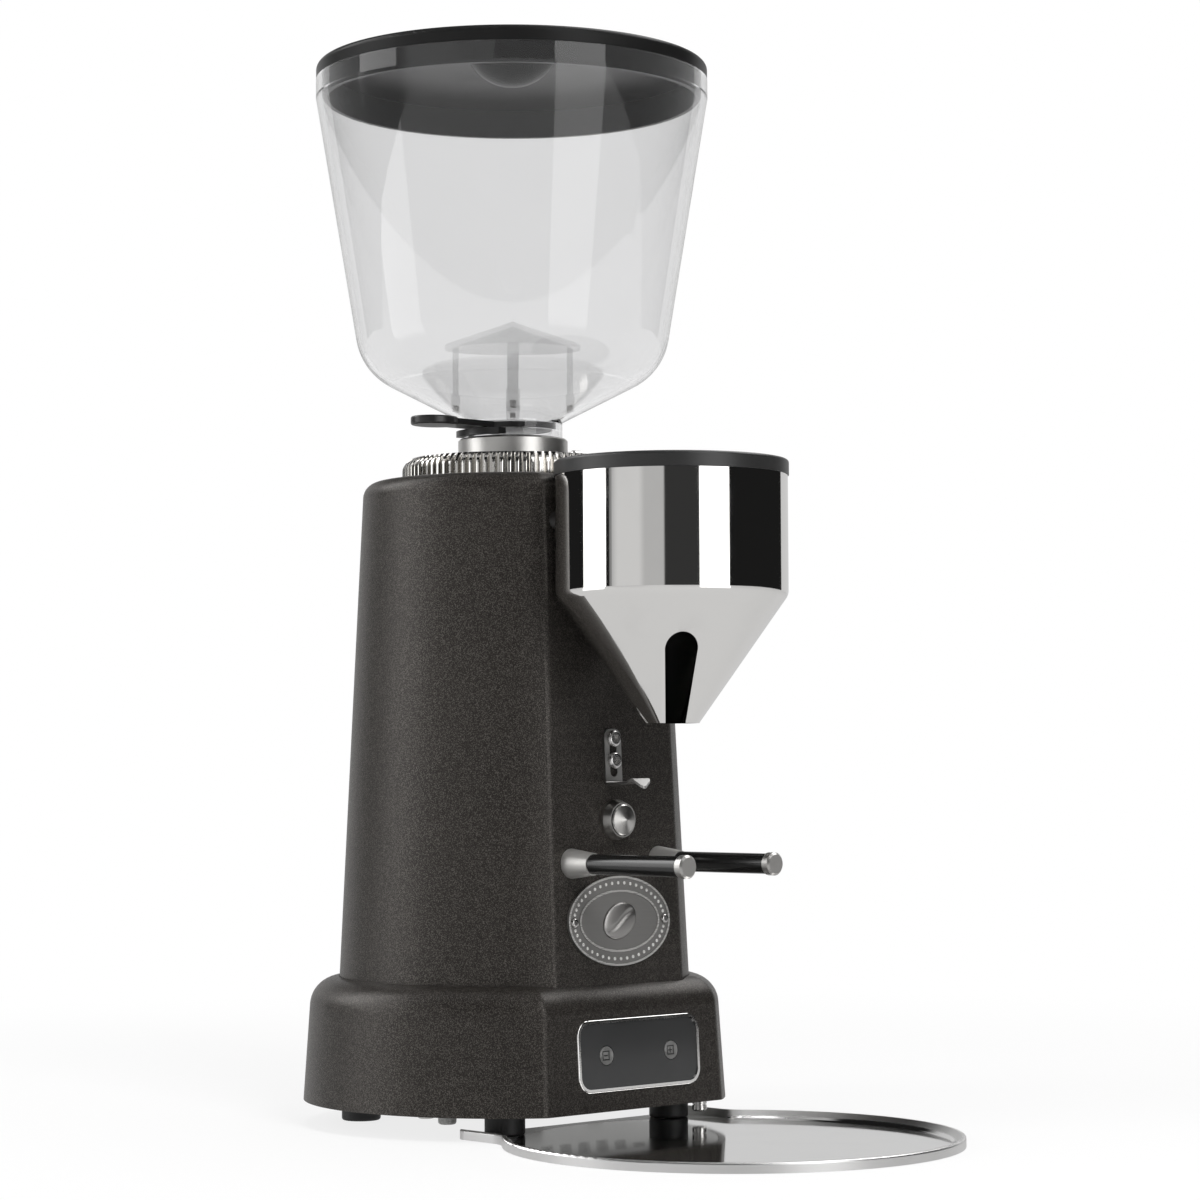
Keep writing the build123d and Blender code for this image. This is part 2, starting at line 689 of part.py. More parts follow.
# ---- Display unit ----
def make_display_bezel():
    """Thin bright frame round the display, seated on the base's front."""
    outer = RectangleRounded(DISPLAY_WIDTH, DISPLAY_HEIGHT, DISPLAY_CORNER_R)
    inner = RectangleRounded(
        DISPLAY_WIDTH - 2 * BEZEL_RIM, DISPLAY_HEIGHT - 2 * BEZEL_RIM, DISPLAY_CORNER_R - BEZEL_RIM
    )
    frame = extrude(display_plane() * (outer - inner), amount=BEZEL_PROUD)
    face = frame.faces().filter_by(lambda side: side.normal_at().Y < -0.9)[0]
    return fillet(face.outer_wire().edges(), BEZEL_PROUD * 0.6)


def key_cut(x, radius, depth):
    """Round hole at a key's place in the display."""
    shape = Pos(x, 0) * Circle(radius)
    return extrude(display_plane(depth) * shape, amount=depth + 2 * BEYOND)


def make_display_panel():
    """Smoked panel inside the bezel, with holes for its two keys."""
    shape = RectangleRounded(
        DISPLAY_WIDTH - 2 * BEZEL_RIM, DISPLAY_HEIGHT - 2 * BEZEL_RIM, DISPLAY_CORNER_R - BEZEL_RIM
    )
    panel = extrude(display_plane(PANEL_THICK) * shape, amount=PANEL_THICK + BEZEL_PROUD / 3)
    for x in (-KEY_X, KEY_X):
        panel -= key_cut(x, KEY_R + RUN_GAP, PANEL_THICK + BEYOND)
    return panel


def make_key(x):
    """Round key with a dished face."""
    face_out = BEZEL_PROUD / 3
    dish_r = (KEY_R**2 + KEY_DISH**2) / (2 * KEY_DISH)
    plane = display_plane(KEY_THICK - face_out)
    key = extrude(plane * Pos(x, 0) * Circle(KEY_R), amount=KEY_THICK)
    ball = display_plane(-face_out).offset(dish_r - KEY_DISH) * Pos(x, 0, 0) * Sphere(dish_r)
    return key - ball


def make_display_board():
    """Circuit board behind the display, held on four pegs behind the panel."""
    behind = PANEL_THICK + KEY_TRAVEL + BOARD_GAP
    width = DISPLAY_WIDTH - 10.0
    height = DISPLAY_HEIGHT - 8.0
    plane = display_plane(behind + BOARD_THICK)
    board = extrude(plane * Rectangle(width, height), amount=BOARD_THICK)
    for x in (-width / 2 + 3.0, width / 2 - 3.0):
        for y in (-height / 2 + 3.0, height / 2 - 3.0):
            peg = Pos(x, y) * Circle(1.5)
            board += extrude(display_plane(behind) * peg, amount=behind - PANEL_THICK)
    return board


# ---- Front fittings ----
def make_button_bezel():
    """Bright bezel of the push button, with a threaded shank and a nut behind the wall."""
    face = body_front(BUTTON_Z)
    nose = face + BEZEL_REACH
    back = face - BODY_WALL - 5.0
    shell = [
        (0, -BEZEL_STEP),
        (BEZEL_R, -BEZEL_STEP),
        (BEZEL_R, BEZEL_STEP),
        (BEZEL_NOSE_R, BEZEL_REACH),
        (0, BEZEL_REACH),
    ]
    bezel = Pos(0, -face, BUTTON_Z) * Rot(90, 0, 0) * turned(shell)
    bezel -= body_tower(0, BODY_BOTTOM, BODY_TOP, 0)
    bezel += rod(BEZEL_SHANK_R, -face - BEZEL_STEP, -back, 0, BUTTON_Z)
    nut = rod(BEZEL_NUT_R, -face + BODY_WALL - 1.0, -back - 1.0, 0, BUTTON_Z)
    wall = body_tower(0, BODY_BOTTOM, BODY_TOP, 0) - body_tower(BODY_WALL, BODY_BOTTOM, BODY_TOP, 0)
    bezel += nut - wall
    bezel -= rod(BUTTON_R + RUN_GAP, -nose - BEYOND, -back - 2.0, 0, BUTTON_Z)
    bezel -= rod(BUTTON_STEM_R + RUN_GAP, -nose, -back + BEYOND, 0, BUTTON_Z)
    return bezel


def make_push_button():
    """Steel button with a turned conical face and a stem towards its switch."""
    face = body_front(BUTTON_Z)
    nose = face + BEZEL_REACH + BUTTON_PROUD
    back = face - BODY_WALL - 3.0 + BUTTON_TRAVEL + RUN_GAP
    button = rod(BUTTON_R, -nose, -back, 0, BUTTON_Z)
    button = chamfer(button.edges().sort_by(Axis.Y)[0], BUTTON_EDGE)
    button += rod(BUTTON_STEM_R, -back - 1.0, -back + BUTTON_STEM + RUN_GAP, 0, BUTTON_Z)
    point = Cone(BUTTON_R - BUTTON_EDGE, BUTTON_EDGE / 2, BUTTON_POINT, align=MIDDLE_LOW)
    return button + Pos(0, -nose, BUTTON_Z) * Rot(90, 0, 0) * point


def button_stem_end():
    """Distance of the stem's inner end from the burr axis, with the button at rest."""
    back = body_front(BUTTON_Z) - BODY_WALL - 3.0 + BUTTON_TRAVEL + RUN_GAP
    return back - BUTTON_STEM - RUN_GAP


def make_start_switch():
    """Small snap switch behind the push button, on a bracket with two arms to the wall."""
    front = button_stem_end() - BUTTON_TRAVEL - 0.4
    half = MICRO_WIDTH / 2
    z_range = (BUTTON_Z - MICRO_HEIGHT / 2, BUTTON_Z + MICRO_HEIGHT / 2)
    switch = block((-half, half), (-front, -front + MICRO_DEPTH), z_range)
    for x_low in (-half - 3.0, half):
        switch += block((x_low, x_low + 3.0), (-body_front(BASE_TOP), -front + MICRO_DEPTH), z_range)
    return switch & body_tower(BODY_WALL, BODY_BOTTOM, DECK_BOTTOM, 0)


def make_portafilter_clip():
    """Bent spring strip that steadies the portafilter, with a slotted upright leg."""
    line = FilletPolyline(
        (0, CLIP_HEIGHT),
        (0, 0),
        (-CLIP_LEVEL, 0),
        (-CLIP_CREST, CLIP_HUMP),
        (-CLIP_REACH, -CLIP_DROP),
        radius=1.2,
    )
    strip = trace(line, CLIP_THICK)
    front = body_front(CLIP_BOTTOM_Z)
    place = Pos(0, -front - CLIP_THICK / 2, CLIP_BOTTOM_Z)
    tilt = Rot(-degrees(BODY_LEAN), 0, 0)
    clip = place * tilt * extrude(Plane.YZ * strip, amount=CLIP_WIDTH / 2, both=True)
    top = clip.edges().filter_by(
        lambda edge: edge.center().Z > CLIP_BOTTOM_Z + CLIP_HEIGHT - BEYOND and edge.length < 2 * CLIP_THICK
    )
    clip = fillet(top, CLIP_CORNER_R)
    half = CLIP_WIDTH / 2
    tip_left = (-half, -front - CLIP_REACH)
    tip_right = (half, -front - CLIP_REACH_RIGHT)
    plan = outline([(-half, 0), tip_left, tip_right, (half, 0)], [(tip_left, 1.5), (tip_right, 2.5)])
    clip &= extrude(Pos(0, 0, CLIP_BOTTOM_Z - 2 * CLIP_DROP) * plan, amount=2 * CLIP_HEIGHT)
    slot = SlotOverall(CLIP_SLOT_HIGH - CLIP_SLOT_LOW, CLIP_SLOT_WIDTH, rotation=90)
    middle = body_plane(CLIP_BOTTOM_Z + (CLIP_SLOT_HIGH + CLIP_SLOT_LOW) / 2, BEYOND)
    clip -= extrude(middle * slot, amount=4 * BEYOND)
    return clip - body_tower(0, BODY_BOTTOM, BODY_TOP, 0)


def screw_star():
    """Six-lobed socket of a screw's head."""
    star = Circle(1.45)
    for x, y in round_places(6, 1.35):
        star += Pos(x, y) * Circle(0.45)
    return star


def make_clip_screws():
    """Two pan-head screws with a star socket that hold the clip."""
    screws = []
    for z in CLIP_SCREWS_Z:
        seat = body_plane(z, -CLIP_THICK)
        head = extrude(seat * Circle(CLIP_SCREW_HEAD_R), amount=CLIP_SCREW_HEAD)
        head = fillet(head.edges().sort_by(Axis.Y)[0], 1.3)
        socket = seat.offset(CLIP_SCREW_HEAD - 1.2) * screw_star()
        head -= extrude(socket, amount=3.0)
        shank = extrude(body_plane(z, BODY_WALL + 2.0) * Circle(CLIP_SCREW_R), amount=BODY_WALL + 2.0)
        shank += extrude(body_plane(z) * Circle(CLIP_SCREW_R), amount=CLIP_THICK)
        screws.append(head + shank)
    return screws


def make_fork_rods():
    """Two steel rods with conical roots and studs through the body's front."""
    rods = []
    face = body_front(FORK_Z)
    for x in (-FORK_X, FORK_X):
        length = FORK_CONE_END - face + 3.0
        root = Pos(x, -face + 3.0, FORK_Z) * Rot(90, 0, 0)
        cone = root * Cone(FORK_CONE_R, FORK_NECK_R, length, align=MIDDLE_LOW)
        cone -= body_tower(0, BODY_BOTTOM, BODY_TOP, 0)
        stud = rod(FORK_STUD_R, -face - 1.0, -face + BODY_WALL + 4.0, x, FORK_Z)
        core = rod(FORK_ROD_R, -(FORK_REACH - FORK_TIP), -face, x, FORK_Z)
        rods.append(cone + stud + core)
    return rods


def make_fork_sleeves():
    """Black sleeves over the rods, where the portafilter lies."""
    sleeves = []
    for x in (-FORK_X, FORK_X):
        sleeve = rod(FORK_SLEEVE_R, -(FORK_REACH - FORK_TIP), -FORK_CONE_END, x, FORK_Z)
        sleeves.append(sleeve - rod(FORK_ROD_R, -FORK_REACH, -FORK_CONE_END + BEYOND, x, FORK_Z))
    return sleeves


def make_fork_tips():
    """Chamfered steel ends screwed onto the rods."""
    tips = []
    for x in (-FORK_X, FORK_X):
        tip = rod(FORK_TIP_R, -FORK_REACH, -(FORK_REACH - FORK_TIP), x, FORK_Z)
        tip = chamfer(tip.edges().sort_by(Axis.Y)[0], 0.9)
        tip = chamfer(tip.edges().sort_by(Axis.Y)[-1], 0.35)
        tips.append(tip)
    return tips


def make_badge_plate():
    """Bare oval plate with a raised rim and a raised inner line."""
    outer = Ellipse(BADGE_WIDTH / 2, BADGE_HEIGHT / 2)
    plate = extrude(body_plane(BADGE_Z) * outer, amount=BADGE_THICK)
    field = Ellipse(BADGE_WIDTH / 2 - BADGE_LINE, BADGE_HEIGHT / 2 - BADGE_LINE)
    inner = Ellipse(BADGE_INNER_WIDTH / 2, BADGE_INNER_HEIGHT / 2)
    core = Ellipse(BADGE_INNER_WIDTH / 2 - BADGE_LINE, BADGE_INNER_HEIGHT / 2 - BADGE_LINE)
    sunk = body_plane(BADGE_Z, -BADGE_THICK + 0.4)
    plate -= extrude(sunk * (field - inner), amount=BEYOND)
    plate -= extrude(sunk * core, amount=BEYOND)
    return plate


def make_badge_rivets():
    """Two domed rivets at the ends of the badge."""
    rivets = []
    for x in (-BADGE_RIVET_X, BADGE_RIVET_X):
        seat = body_plane(BADGE_Z, -BADGE_THICK + 0.4)
        head = extrude(seat * Pos(x, 0) * Circle(RIVET_R), amount=1.4)
        rivets.append(fillet(head.edges().sort_by(Axis.Y)[0], 1.1))
    return rivets


# ---- Motor ----
def make_motor_stator():
    """Laminated stator ring with four flats and winding slots towards the rotor."""
    stack = ring_of(ROTOR_R + AIR_GAP, MOTOR_R, STACK_BOTTOM, STACK_TOP)
    for x, y in round_places(24, ROTOR_R + AIR_GAP + 1.5):
        stack -= post(1.1, STACK_BOTTOM - BEYOND, STACK_TOP + BEYOND, x, y)
    flats = Pos(0, 0, STACK_BOTTOM) * Box(
        2 * MOTOR_R * 0.96, 2 * MOTOR_R * 0.96, STACK_HEIGHT, align=MIDDLE_LOW
    )
    return stack & flats


def make_motor_windings():
    """Winding heads above and below the stack."""
    inner = MOTOR_R - SHIELD_WALL - WINDING_WALL
    outer = MOTOR_R - SHIELD_WALL - 1.0
    heads = []
    for low in (STACK_TOP, STACK_BOTTOM - WINDING_HEIGHT + 2.0):
        head = ring_of(inner, outer, low, low + WINDING_HEIGHT - 2.0)
        heads.append(fillet(head.edges(), 3.0))
    return heads


def make_upper_shield():
    """Upper end bell with its bearing seat and the flange that bolts under the deck."""
    skirt_inner = MOTOR_R - SHIELD_WALL
    roof = SHIELD_TOP - SHIELD_FLANGE
    bell = ring_of(skirt_inner, MOTOR_R, STACK_TOP, roof)
    bell += ring_of(SHAFT_R + 1.5, SHIELD_FLANGE_R, roof, SHIELD_TOP)
    bell += ring_of(BEARING_R, BEARING_R + 4.0, roof - BEARING_WIDTH, roof)
    for x, y in round_places(4, MOTOR_SCREW_CIRCLE, 45):
        bell -= post(MOTOR_SCREW_R, roof - BEYOND, SHIELD_TOP + BEYOND, x, y)
    return bell


def make_lower_shield():
    """Lower end bell with its bearing seat."""
    skirt_inner = MOTOR_R - SHIELD_WALL
    bell = ring_of(skirt_inner, MOTOR_R, SHIELD_BOTTOM + SHIELD_WALL, STACK_BOTTOM)
    bell += ring_of(SHAFT_R + 1.5, MOTOR_R, SHIELD_BOTTOM, SHIELD_BOTTOM + SHIELD_WALL)
    bell += ring_of(
        BEARING_R, BEARING_R + 4.0, SHIELD_BOTTOM + SHIELD_WALL, SHIELD_BOTTOM + SHIELD_WALL + BEARING_WIDTH
    )
    return bell


def bearing_at(z_low):
    """Ball bearing with a shield groove on each side."""
    bearing = ring_of(SHAFT_R + SHAFT_GAP, BEARING_R, z_low, z_low + BEARING_WIDTH)
    groove_in = SHAFT_R + BEARING_WALL
    groove_out = BEARING_R - BEARING_WALL
    for low in (z_low - BEYOND, z_low + BEARING_WIDTH - 0.6):
        bearing -= ring_of(groove_in, groove_out, low, low + BEYOND + 0.6)
    return bearing


def make_motor_screws():
    """Bolts through the motor's flange, the deck and the chamber's flange."""
    bolts = []
    for x, y in round_places(4, MOTOR_SCREW_CIRCLE, 45):
        flange_bottom = SHIELD_TOP - SHIELD_FLANGE
        head = Pos(x, y, flange_bottom - 3.5) * extrude(RegularPolygon(2 * MOTOR_SCREW_R, 6), amount=3.5)
        bolts.append(head + post(MOTOR_SCREW_R, flange_bottom, DECK_TOP + CHAMBER_FLANGE + 3.0, x, y))
    return bolts


def make_motor_rotor():
    """Motor shaft with its rotor core, running up to the lower burr."""
    top = BURR_PLANE - 1.5
    bottom = SHIELD_BOTTOM - FAN_HEIGHT - 3.0
    shaft = post(SHAFT_R, bottom, top)
    shaft = chamfer(shaft.edges().sort_by(Axis.Z)[-1], 0.8)
    return shaft + ring_of(SHAFT_R - 1.0, ROTOR_R, STACK_BOTTOM, STACK_TOP)


def make_cooling_fan():
    """Radial fan on the shaft's lower end."""
    top = SHIELD_BOTTOM - 2.0
    bottom = top - FAN_HEIGHT
    fan = ring_of(SHAFT_R, FAN_HUB_R, bottom, top)
    fan += ring_of(SHAFT_R, FAN_R, top - 2.0, top)
    for step in range(FAN_BLADES):
        blade = block((FAN_HUB_R - 1.0, FAN_R - 0.5), (-FAN_BLADE / 2, FAN_BLADE / 2), (bottom, top - 1.0))
        fan += Rot(0, 0, 360.0 * step / FAN_BLADES) * blade
    return fan


# ---- Grinding chamber ----
def make_grind_chamber():
    """Cast chamber round the burrs, bolted to the deck and open to the chute."""
    points = [
        (SHAFT_R + 1.0, CHAMBER_FLOOR_TOP - CHAMBER_FLOOR),
        (CHAMBER_R - CHAMBER_WALL, CHAMBER_FLOOR_TOP - CHAMBER_FLOOR),
        (CHAMBER_R - CHAMBER_WALL, DECK_TOP),
        (CHAMBER_FLANGE_R, DECK_TOP),
        (CHAMBER_FLANGE_R, DECK_TOP + CHAMBER_FLANGE),
        (CHAMBER_R, DECK_TOP + CHAMBER_FLANGE),
        (CHAMBER_R, BODY_TOP),
        (CHAMBER_BORE_R, BODY_TOP),
        (CHAMBER_BORE_R, CHAMBER_FLOOR_TOP),
        (SHAFT_R + 1.0, CHAMBER_FLOOR_TOP),
    ]
    chamber = turned(points)
    chamber -= chute_block(0, CHAMBER_R + BEYOND, 0.75 * CHAMBER_R)
    for x, y in round_places(4, MOTOR_SCREW_CIRCLE, 45):
        chamber -= post(MOTOR_SCREW_R, DECK_TOP - BEYOND, DECK_TOP + CHAMBER_FLANGE + BEYOND, x, y)
    return chamber


def make_coffee_chute():
    """Rectangular spout from the chamber through the saddle into the funnel."""
    back = CHAMBER_BORE_R * 0.96
    chute = chute_block(0, CHUTE_FRONT, back)
    chute -= chute_block(-CHUTE_WALL, CHUTE_FRONT + BEYOND, back - BEYOND)
    return chute - post(CHAMBER_BORE_R, DECK_TOP, BODY_TOP)


def burr_tooth(width, depth, slant):
    """Radial V-shaped gullet, slanted like a burr's cutting edge."""
    half = width / 2
    profile = outline([(-half, 0.4), (half, 0.4), (half * 0.15, -depth), (-half * 0.15, -depth)])
    prism = extrude(Plane.YZ * profile, amount=BURR_R + 5.0)
    return Pos(0, slant, 0) * prism


def burr(flip):
    """Flat burr with a dished crushing zone and slanted gullets; its teeth face up unless flipped."""
    dish_r = BURR_R - BURR_FLAT
    points = [
        (BURR_BORE_R, -BURR_THICK),
        (BURR_R, -BURR_THICK),
        (BURR_R, 0),
        (dish_r, 0),
        (BURR_BORE_R, -BURR_DISH),
    ]
    disc = turned(points)
    for step in range(BURR_TEETH):
        gullet = Rot(0, 0, 360.0 * step / BURR_TEETH) * burr_tooth(BURR_TOOTH_WIDTH, BURR_TOOTH_DEPTH, 6.0)
        disc -= gullet
    for x, y in round_places(BURR_SCREWS, (BURR_BORE_R + BURR_R) / 2, 30):
        disc -= post(BURR_SCREW_R, -BURR_THICK - BEYOND, BEYOND, x, y)
    if flip:
        return Pos(0, 0, BURR_PLANE + BURR_GAP) * Rot(180, 0, 0) * disc
    return Pos(0, 0, BURR_PLANE) * disc


def burr_screw_places(flip):
    """Places of a burr's screws."""
    places = round_places(BURR_SCREWS, (BURR_BORE_R + BURR_R) / 2, 30)
    return [(x, -y) for x, y in places] if flip else places


def make_lower_burr_screws():
    """Screws that hold the lower burr to its carrier, sunk below the teeth."""
    top = BURR_PLANE - BURR_DISH - 0.8
    bottom = LOWER_BURR_SEAT - CARRIER_DISC + 1.0
    return [post(BURR_SCREW_R, bottom, top, x, y) for x, y in burr_screw_places(False)]


def make_upper_burr_screws():
    """Screws that hold the upper burr under its carrier, sunk above the teeth."""
    bottom = BURR_PLANE + BURR_GAP + BURR_DISH + 0.8
    return [post(BURR_SCREW_R, bottom, UPPER_BURR_SEAT + 7.0, x, y) for x, y in burr_screw_places(True)]


def make_lower_burr_carrier():
    """Turning disc under the lower burr, with vanes that sweep coffee into the chute."""
    rim_r = BURR_R + CARRIER_RIM
    disc = ring_of(SHAFT_R, rim_r, CARRIER_BOTTOM, LOWER_BURR_SEAT)
    disc += ring_of(BURR_R + 0.05, rim_r, LOWER_BURR_SEAT, LOWER_BURR_SEAT + 2.0)
    disc += ring_of(SHAFT_R, SHAFT_R + 4.5, CARRIER_BOTTOM - 2.0, CARRIER_BOTTOM)
    for step in range(VANES):
        half = VANE_THICK / 2
        vane = block((rim_r - 1.0, VANE_R), (-half, half), (CARRIER_BOTTOM, LOWER_BURR_SEAT + 2.0))
        disc += Rot(0, 0, 360.0 * step / VANES) * vane
    for x, y in burr_screw_places(False):
        disc -= post(BURR_SCREW_R, CARRIER_BOTTOM + 1.0, LOWER_BURR_SEAT + BEYOND, x, y)
    return disc


def make_carrier_nut():
    """Nut that clamps the lower carrier on the shaft."""
    nut = extrude(Pos(0, 0, LOWER_BURR_SEAT) * RegularPolygon(NUT_R, 6), amount=NUT_HEIGHT)
    return nut - post(SHAFT_R, LOWER_BURR_SEAT - BEYOND, LOWER_BURR_SEAT + NUT_HEIGHT + BEYOND)


def make_upper_burr_carrier():
    """Stationary carrier of the upper burr; it rises and sinks as the ring is turned."""
    top = RING_TOP - RING_LIFT_GAP
    points = [
        (BURR_BORE_R, UPPER_BURR_SEAT),
        (UPPER_CARRIER_R, UPPER_BURR_SEAT),
        (UPPER_CARRIER_R, top),
        (THROAT_R, top),
        (THROAT_R, UPPER_BURR_SEAT + 8.0),
    ]
    carrier = turned(points)
    for x, y in burr_screw_places(True):
        carrier -= post(BURR_SCREW_R, UPPER_BURR_SEAT - BEYOND, UPPER_BURR_SEAT + 7.0, x, y)
    return carrier


# ---- Ring and collar ----
def make_adjusting_ring():
    """Grind-setting ring with scalloped flutes that run on over its bevelled top."""
    flutes = Sketch()
    for x, y in round_places(FLUTES, RING_R + FLUTE_R - FLUTE_DEPTH):
        flutes += Pos(x, y) * Circle(FLUTE_R)
    plan = (Circle(RING_R) - flutes).face()
    bend = RING_TOP - RING_CHAMFER_DOWN
    ring = extrude(Pos(0, 0, RING_BOTTOM) * plan, amount=bend - RING_BOTTOM)
    crown = scale(plan, (RING_R - RING_CHAMFER_IN) / RING_R)
    ring += loft([Pos(0, 0, bend) * plan, Pos(0, 0, RING_TOP) * crown], ruled=True)
    return ring - post(RING_BORE_R, RING_BOTTOM - BEYOND, RING_TOP + BEYOND)


def make_hopper_collar():
    """Satin collar on the carrier that the hopper's neck drops into."""
    bottom = RING_TOP - RING_LIFT_GAP
    collar = turned(
        [
            (THROAT_R, bottom),
            (COLLAR_R, bottom),
            (COLLAR_R, COLLAR_TOP - 0.8),
            (COLLAR_R - 0.8, COLLAR_TOP),
            (COLLAR_BORE_R, COLLAR_TOP),
            (COLLAR_BORE_R, NECK_BOTTOM - RUN_GAP),
            (THROAT_R, NECK_BOTTOM - RUN_GAP),
        ]
    )
    z = COLLAR_TOP - LOCK_SCREW_Z
    return collar - bar_x(LOCK_SCREW_R + RUN_GAP / 2, THROAT_R, COLLAR_R + BEYOND, 0, z)


def make_hopper_lock_screw():
    """Thumb screw through the collar's right side."""
    z = COLLAR_TOP - LOCK_SCREW_Z
    screw = bar_x(LOCK_SCREW_R, NECK_R + RUN_GAP, LOCK_SCREW_REACH, 0, z)
    head = bar_x(LOCK_SCREW_HEAD_R, LOCK_SCREW_REACH - LOCK_SCREW_HEAD, LOCK_SCREW_REACH, 0, z)
    head = chamfer(head.edges().filter_by(GeomType.CIRCLE), 0.35)
    return screw + head


# ---- Hopper ----
def hopper_points(skin):
    """Corner points of the hopper's bowl, drawn in by a skin: neck, belly, band and rim."""
    floor_slope = tan(radians(FLOOR_ANGLE))
    wall_slope = tan(radians(WALL_ANGLE))
    band_r = HOPPER_R - skin
    band_z = HOPPER_RIM - HOPPER_BAND
    floor_z = HOPPER_FLOOR + skin / cos(radians(FLOOR_ANGLE))
    lift = band_r - NECK_R - wall_slope * (band_z - floor_z)
    belly_r = NECK_R + lift / (1 - wall_slope * floor_slope)
    belly_z = floor_z + (belly_r - NECK_R) * floor_slope
    neck_r = NECK_TOP_R if skin == 0 else THROAT_R
    neck_z = floor_z + (neck_r - NECK_R) * floor_slope
    return [(neck_r, neck_z), (belly_r, belly_z), (band_r, band_z), (band_r, HOPPER_RIM)]


def hopper_floor_at(radius):
    """Height of the hopper's inner floor at a radius."""
    skin = HOPPER_WALL / cos(radians(FLOOR_ANGLE))
    return HOPPER_FLOOR + skin + (radius - NECK_R) * tan(radians(FLOOR_ANGLE))


def make_hopper():
    """Clear bean hopper with a slotted neck for the gate."""
    outside = hopper_points(0)
    inside = hopper_points(HOPPER_WALL)
    flange_z = COLLAR_TOP + RUN_GAP
    neck = [(THROAT_R, NECK_BOTTOM), (NECK_R, NECK_BOTTOM), (NECK_R, flange_z), (NECK_TOP_R, flange_z)]
    points = neck + outside + inside[::-1]
    hopper = turned(points, [(outside[1], BELLY_R), (inside[1], BELLY_R - HOPPER_WALL)])
    pocket_r = NECK_R - GATE_EDGE
    pocket = post(pocket_r, GATE_SLOT_BOTTOM, GATE_SLOT_TOP)
    pocket += block((-2 * NECK_R, 0), (-pocket_r, pocket_r), (GATE_SLOT_BOTTOM, GATE_SLOT_TOP))
    return hopper - pocket


def make_gate_slide():
    """Gate that shuts the hopper's neck with a round blade, with an oval grip on its arm outside."""
    z_low = GATE_MID - GATE_THICK / 2
    grip_x = -GATE_REACH + GATE_GRIP_LENGTH / 2
    plan = Circle(NECK_R - GATE_EDGE - RUN_GAP)
    plan += Pos(grip_x / 2, 0) * Rectangle(-grip_x, GATE_ARM_WIDTH)
    blade = extrude(Pos(0, 0, z_low) * plan, amount=GATE_THICK)
    grip_plan = Pos(grip_x, 0) * Ellipse(GATE_GRIP_LENGTH / 2, GATE_GRIP_WIDTH / 2)
    grip = extrude(Pos(0, 0, GATE_MID - GATE_GRIP_THICK / 2) * grip_plan, amount=GATE_GRIP_THICK)
    grip = fillet(grip.edges(), 0.9)
    return blade + grip


def make_gate_guide():
    """Black guide under the gate's arm, hugging the neck's left side."""
    top = GATE_SLOT_BOTTOM - RUN_GAP
    guide = ring_of(NECK_TOP_R, NECK_TOP_R + GATE_GUIDE_WALL, top - GATE_GUIDE_HEIGHT, top)
    return guide & block((-2 * NECK_R, 0), (-GATE_GUIDE_HALF, GATE_GUIDE_HALF), (COLLAR_TOP, HOPPER_FLOOR))


def guard_post_places():
    """Places of the guard's posts on the hopper's floor."""
    turns = [GUARD_TURN + 360.0 * step / GUARD_POSTS for step in range(GUARD_POSTS)]
    return [(turn, facing(turn, GUARD_POST_R)) for turn in turns]


def make_finger_guard():
    """Clear conical roof on four posts that keeps fingers off the burrs."""
    slope = GUARD_ROOF_RISE / GUARD_ROOF_R
    under = GUARD_WALL / cos(atan(slope))
    roof = turned(
        [
            (0, GUARD_TIP),
            (GUARD_ROOF_R, GUARD_EAVE),
            (GUARD_ROOF_R, GUARD_EAVE - GUARD_WALL),
            (GUARD_ROOF_R - GUARD_WALL, GUARD_EAVE - GUARD_WALL),
            (0, GUARD_TIP - under),
        ]
    )
    guard = roof
    for turn, (x, y) in guard_post_places():
        place = Pos(x, y, 0) * Rot(0, 0, turn)
        half_w = GUARD_POST_WIDTH / 2
        half_t = GUARD_POST_THICK / 2
        leg = block((-half_w, half_w), (-half_t, half_t), (HOPPER_FLOOR - 4.0, GUARD_EAVE))
        foot = block(
            (-half_w - 0.6, half_w + 0.6),
            (-half_t - 0.6, half_t + 0.6),
            (HOPPER_FLOOR - 4.0, hopper_floor_at(GUARD_POST_R) + 9.0),
        )
        guard += place * (leg + foot)
    far = GUARD_ROOF_R + 5.0
    guard -= turned([(0, GUARD_TIP), (far, GUARD_TIP), (far, GUARD_EAVE - slope * 5.0)])
    low = HOPPER_FLOOR - 8.0
    reach = GUARD_POST_R + 8.0
    floor = turned(
        [
            (0, low),
            (reach, low),
            (reach, hopper_floor_at(reach)),
            (THROAT_R - 4.0, hopper_floor_at(THROAT_R - 4.0)),
            (0, hopper_floor_at(THROAT_R - 4.0)),
        ]
    )
    guard -= floor
    for _, (x, y) in guard_post_places():
        guard -= post(GUARD_SCREW_R, low, hopper_floor_at(GUARD_POST_R) + 4.0, x, y)
    return guard


def make_guard_screws():
    """Small screws from below through the hopper's floor into the posts."""
    screws = []
    floor = hopper_floor_at(GUARD_POST_R)
    for _, (x, y) in guard_post_places():
        screws.append(post(GUARD_SCREW_R, floor + 0.8, floor + 4.0, x, y))
    return screws


